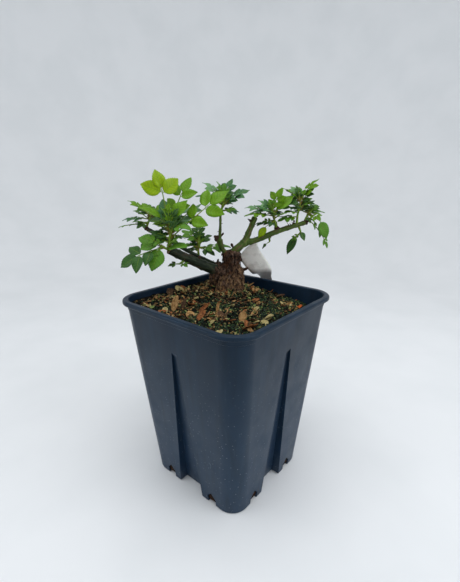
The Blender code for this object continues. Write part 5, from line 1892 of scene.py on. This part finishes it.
    def _grow(self, mass: Mass, blockers: list[BVHTree]) -> None:
        """Grow one mass: its stem, the leaves that fit, and young shoots in their axils."""
        start, end = self._stem_ends(mass)
        bend = direction(mass.heading + 90.0, 0.0) * (mass.length * 0.04)
        stations = [(tuple(start - (end - start).normalized() * 0.0012), self.stem_radius * 1.15),
                    (tuple(start.lerp(end, 0.35) + bend), self.stem_radius * 0.95),
                    (tuple(start.lerp(end, 0.7) - bend), self.stem_radius * 0.82),
                    (tuple(end), self.stem_radius * 0.6)]
        self.stems.tube(smooth_path(stations, 6), 9)
        grown = 0
        for number, leaf in enumerate(self._leaves(mass)):
            base = start.lerp(end, min(leaf.at, 0.97))
            tries = []
            for order, turn in enumerate(self.leaf_tries):
                spray = self._spray(base, replace(leaf, heading=leaf.heading + turn))
                blades = [self._coarse_blade(blade) for blade in spray.blades]
                parts = [self._coarse_stalk(spray), *blades]
                wood = sum(bool(part.overlap(blocker)) for part in parts for blocker in blockers)
                leaves = sum(bool(blade.overlap(other)) for blade in blades for other in self.placed)
                tries.append((wood * 10 + leaves, order, spray, blades))
                if not tries[-1][0]:
                    break
            crowd, _, spray, blades = min(tries, key=lambda one: one[:2])
            if crowd > (self.crowding if number < len(mass.leaves) else 0):
                continue
            self.placed += blades
            self._draw_spray(spray, mass.name)
            grown += 1
            if leaf.length > 0.018:
                self._draw_young(base, spray.leaf, mass)
        LOG.info("%s: %d leaves", mass.name, grown)

    def build(self) -> None:
        """Grow every mass and turn the skins into pieces."""
        nodes = frame["nodes"]
        wood = ["pot", "soil", "trunk", "plant_label", *(cane.name for cane in CANES)]
        blockers = [tree_of(nodes[name]) for name in wood]
        names = [mass.name for mass in self.masses]
        for mass in self.masses:
            self._grow(mass, blockers)
        for tint, skin in self.blades.items():
            if not self.used[tint]:
                skin.bm.free()
                continue
            piece = skin.piece("leaflets_" + tint.name.lower(), list(tint.value), "rose_leaf",
                               sorted(self.used[tint]), sharp=75.0, closed=False)
            thicken(piece, self.leaf_thickness, under=1)
        self.stalks.piece("leaf_stalks", [GREEN_STALK], "rose_leaf", names, sharp=60.0)
        self.stems.piece("shoot_stems", [GREEN_STALK], "rose_leaf", names, sharp=60.0)


# Stage

@dataclass(frozen=True)
class Studio:
    """A pale seamless sweep under soft light, and the camera at the photo's place."""

    floor_radius: float = 0.90
    sweep_radius: float = 0.90
    wall_height: float = 2.1
    azimuth: float = 40.32
    elevation: float = 20.61
    camera: tuple[float, float, float] = (0.24542, -0.28515, 0.34533)
    focal_pixels: float = 351.3
    frame_height: float = 582.0
    sensor: float = 36.0
    shift_pixels: float = 24.5
    world_colour: str = "#e1e4e8"
    world_strength: float = 0.53

    def _sweep(self) -> None:
        """Build the floor and the wall that curves up all round it by one full spin."""
        bm = bmesh.new()
        points = [Vector((0.0, 0.0, 0.0)), Vector((self.floor_radius, 0.0, 0.0))]
        for step in range(1, 13):
            turn = math.radians(90.0 * step / 12)
            points.append(Vector((self.floor_radius + self.sweep_radius * math.sin(turn), 0.0,
                                  self.sweep_radius * (1.0 - math.cos(turn)))))
        points.append(points[-1] + UP * (self.wall_height - self.sweep_radius))
        verts = [bm.verts.new(point) for point in points]
        edges = [bm.edges.new(pair) for pair in zip(verts, verts[1:])]
        bmesh.ops.spin(bm, geom=verts + edges, cent=(0, 0, 0), axis=(0, 0, 1), angle=2 * math.pi, steps=96,
                       use_merge=True)
        bmesh.ops.remove_doubles(bm, verts=bm.verts[:], dist=1e-5)
        bmesh.ops.recalc_face_normals(bm, faces=bm.faces[:])
        if min(bm.faces, key=lambda face: face.calc_center_median().length).normal.z < 0:
            bmesh.ops.reverse_faces(bm, faces=bm.faces[:])
        mesh = bpy.data.meshes.new("seamless_sweep")
        bm.to_mesh(mesh)
        bm.free()
        mesh.shade_smooth()
        mesh.materials.append(SEAMLESS_PAPER.material())
        item = bpy.data.objects.new("seamless_sweep", mesh)
        bpy.context.scene.collection.objects.link(item)

    def _light(self, name: str, place: tuple[float, float, float], size: float, power: float, colour: str) -> None:
        """Hang one square soft light that looks at the middle of the plant."""
        lamp = bpy.data.lights.new(name, "AREA")
        lamp.shape = "SQUARE"
        lamp.size = size
        lamp.energy = power
        lamp.color = hex_to_linear(colour)[:3]
        item = bpy.data.objects.new(name, lamp)
        bpy.context.scene.collection.objects.link(item)
        item.location = place
        item.rotation_mode = "QUATERNION"
        item.rotation_quaternion = (Vector((0.0, 0.0, 0.15)) - item.location).to_track_quat("-Z", "Y")

    def _world(self) -> None:
        """Fill the surroundings with one soft colour."""
        world = bpy.data.worlds.new("soft_room")
        world.use_nodes = True
        background = world.node_tree.nodes["Background"]
        background.inputs["Color"].default_value = hex_to_linear(self.world_colour)
        background.inputs["Strength"].default_value = self.world_strength
        bpy.context.scene.world = world

    def _camera(self) -> None:
        """Stand the camera where the photo was taken from."""
        turn = math.radians(self.azimuth)
        tilt = math.radians(self.elevation)
        right = Vector((math.cos(turn), math.sin(turn), 0.0))
        back = Vector((math.sin(turn) * math.cos(tilt), -math.cos(turn) * math.cos(tilt), math.sin(tilt)))
        lens = bpy.data.cameras.new("photo_camera")
        lens.sensor_width = self.sensor
        lens.lens = self.focal_pixels / self.frame_height * self.sensor
        lens.shift_y = self.shift_pixels / self.frame_height
        lens.clip_start = 0.01
        item = bpy.data.objects.new("photo_camera", lens)
        bpy.context.scene.collection.objects.link(item)
        item.matrix_world = Matrix((right, back.cross(right), back)).transposed().to_4x4()
        item.location = self.camera
        bpy.context.scene.camera = item

    def build(self) -> None:
        """Build the sweep, hang the lights and stand the camera."""
        bpy.context.scene.view_settings.view_transform = "Standard"
        self._sweep()
        self._world()
        self._light("overhead_softbox", (0.10, -0.10, 1.75), 1.5, 17.0, "#fafbfb")
        self._light("right_softbox", (1.00, 0.26, 0.80), 0.7, 4.6, "#f6f8fb")
        self._light("left_softbox", (-0.65, -0.85, 0.70), 0.7, 2.3, "#f6f8fb")
        self._camera()


def main() -> None:
    """Build the studio, the pot, the soil, the wood, the label and the foliage."""
    logging.basicConfig(level=logging.INFO, format="%(relativeCreated)d %(name)s %(message)s")
    Studio().build()
    pot = SquarePot()
    pot.build()
    PottingSoil(pot).build()
    Stump().build()
    for cane in CANES:
        cane.build()
    Snags(CANES).build()
    BlankLabel().build()
    Foliage(MASSES).build()


if __name__ == "__main__":
    main()
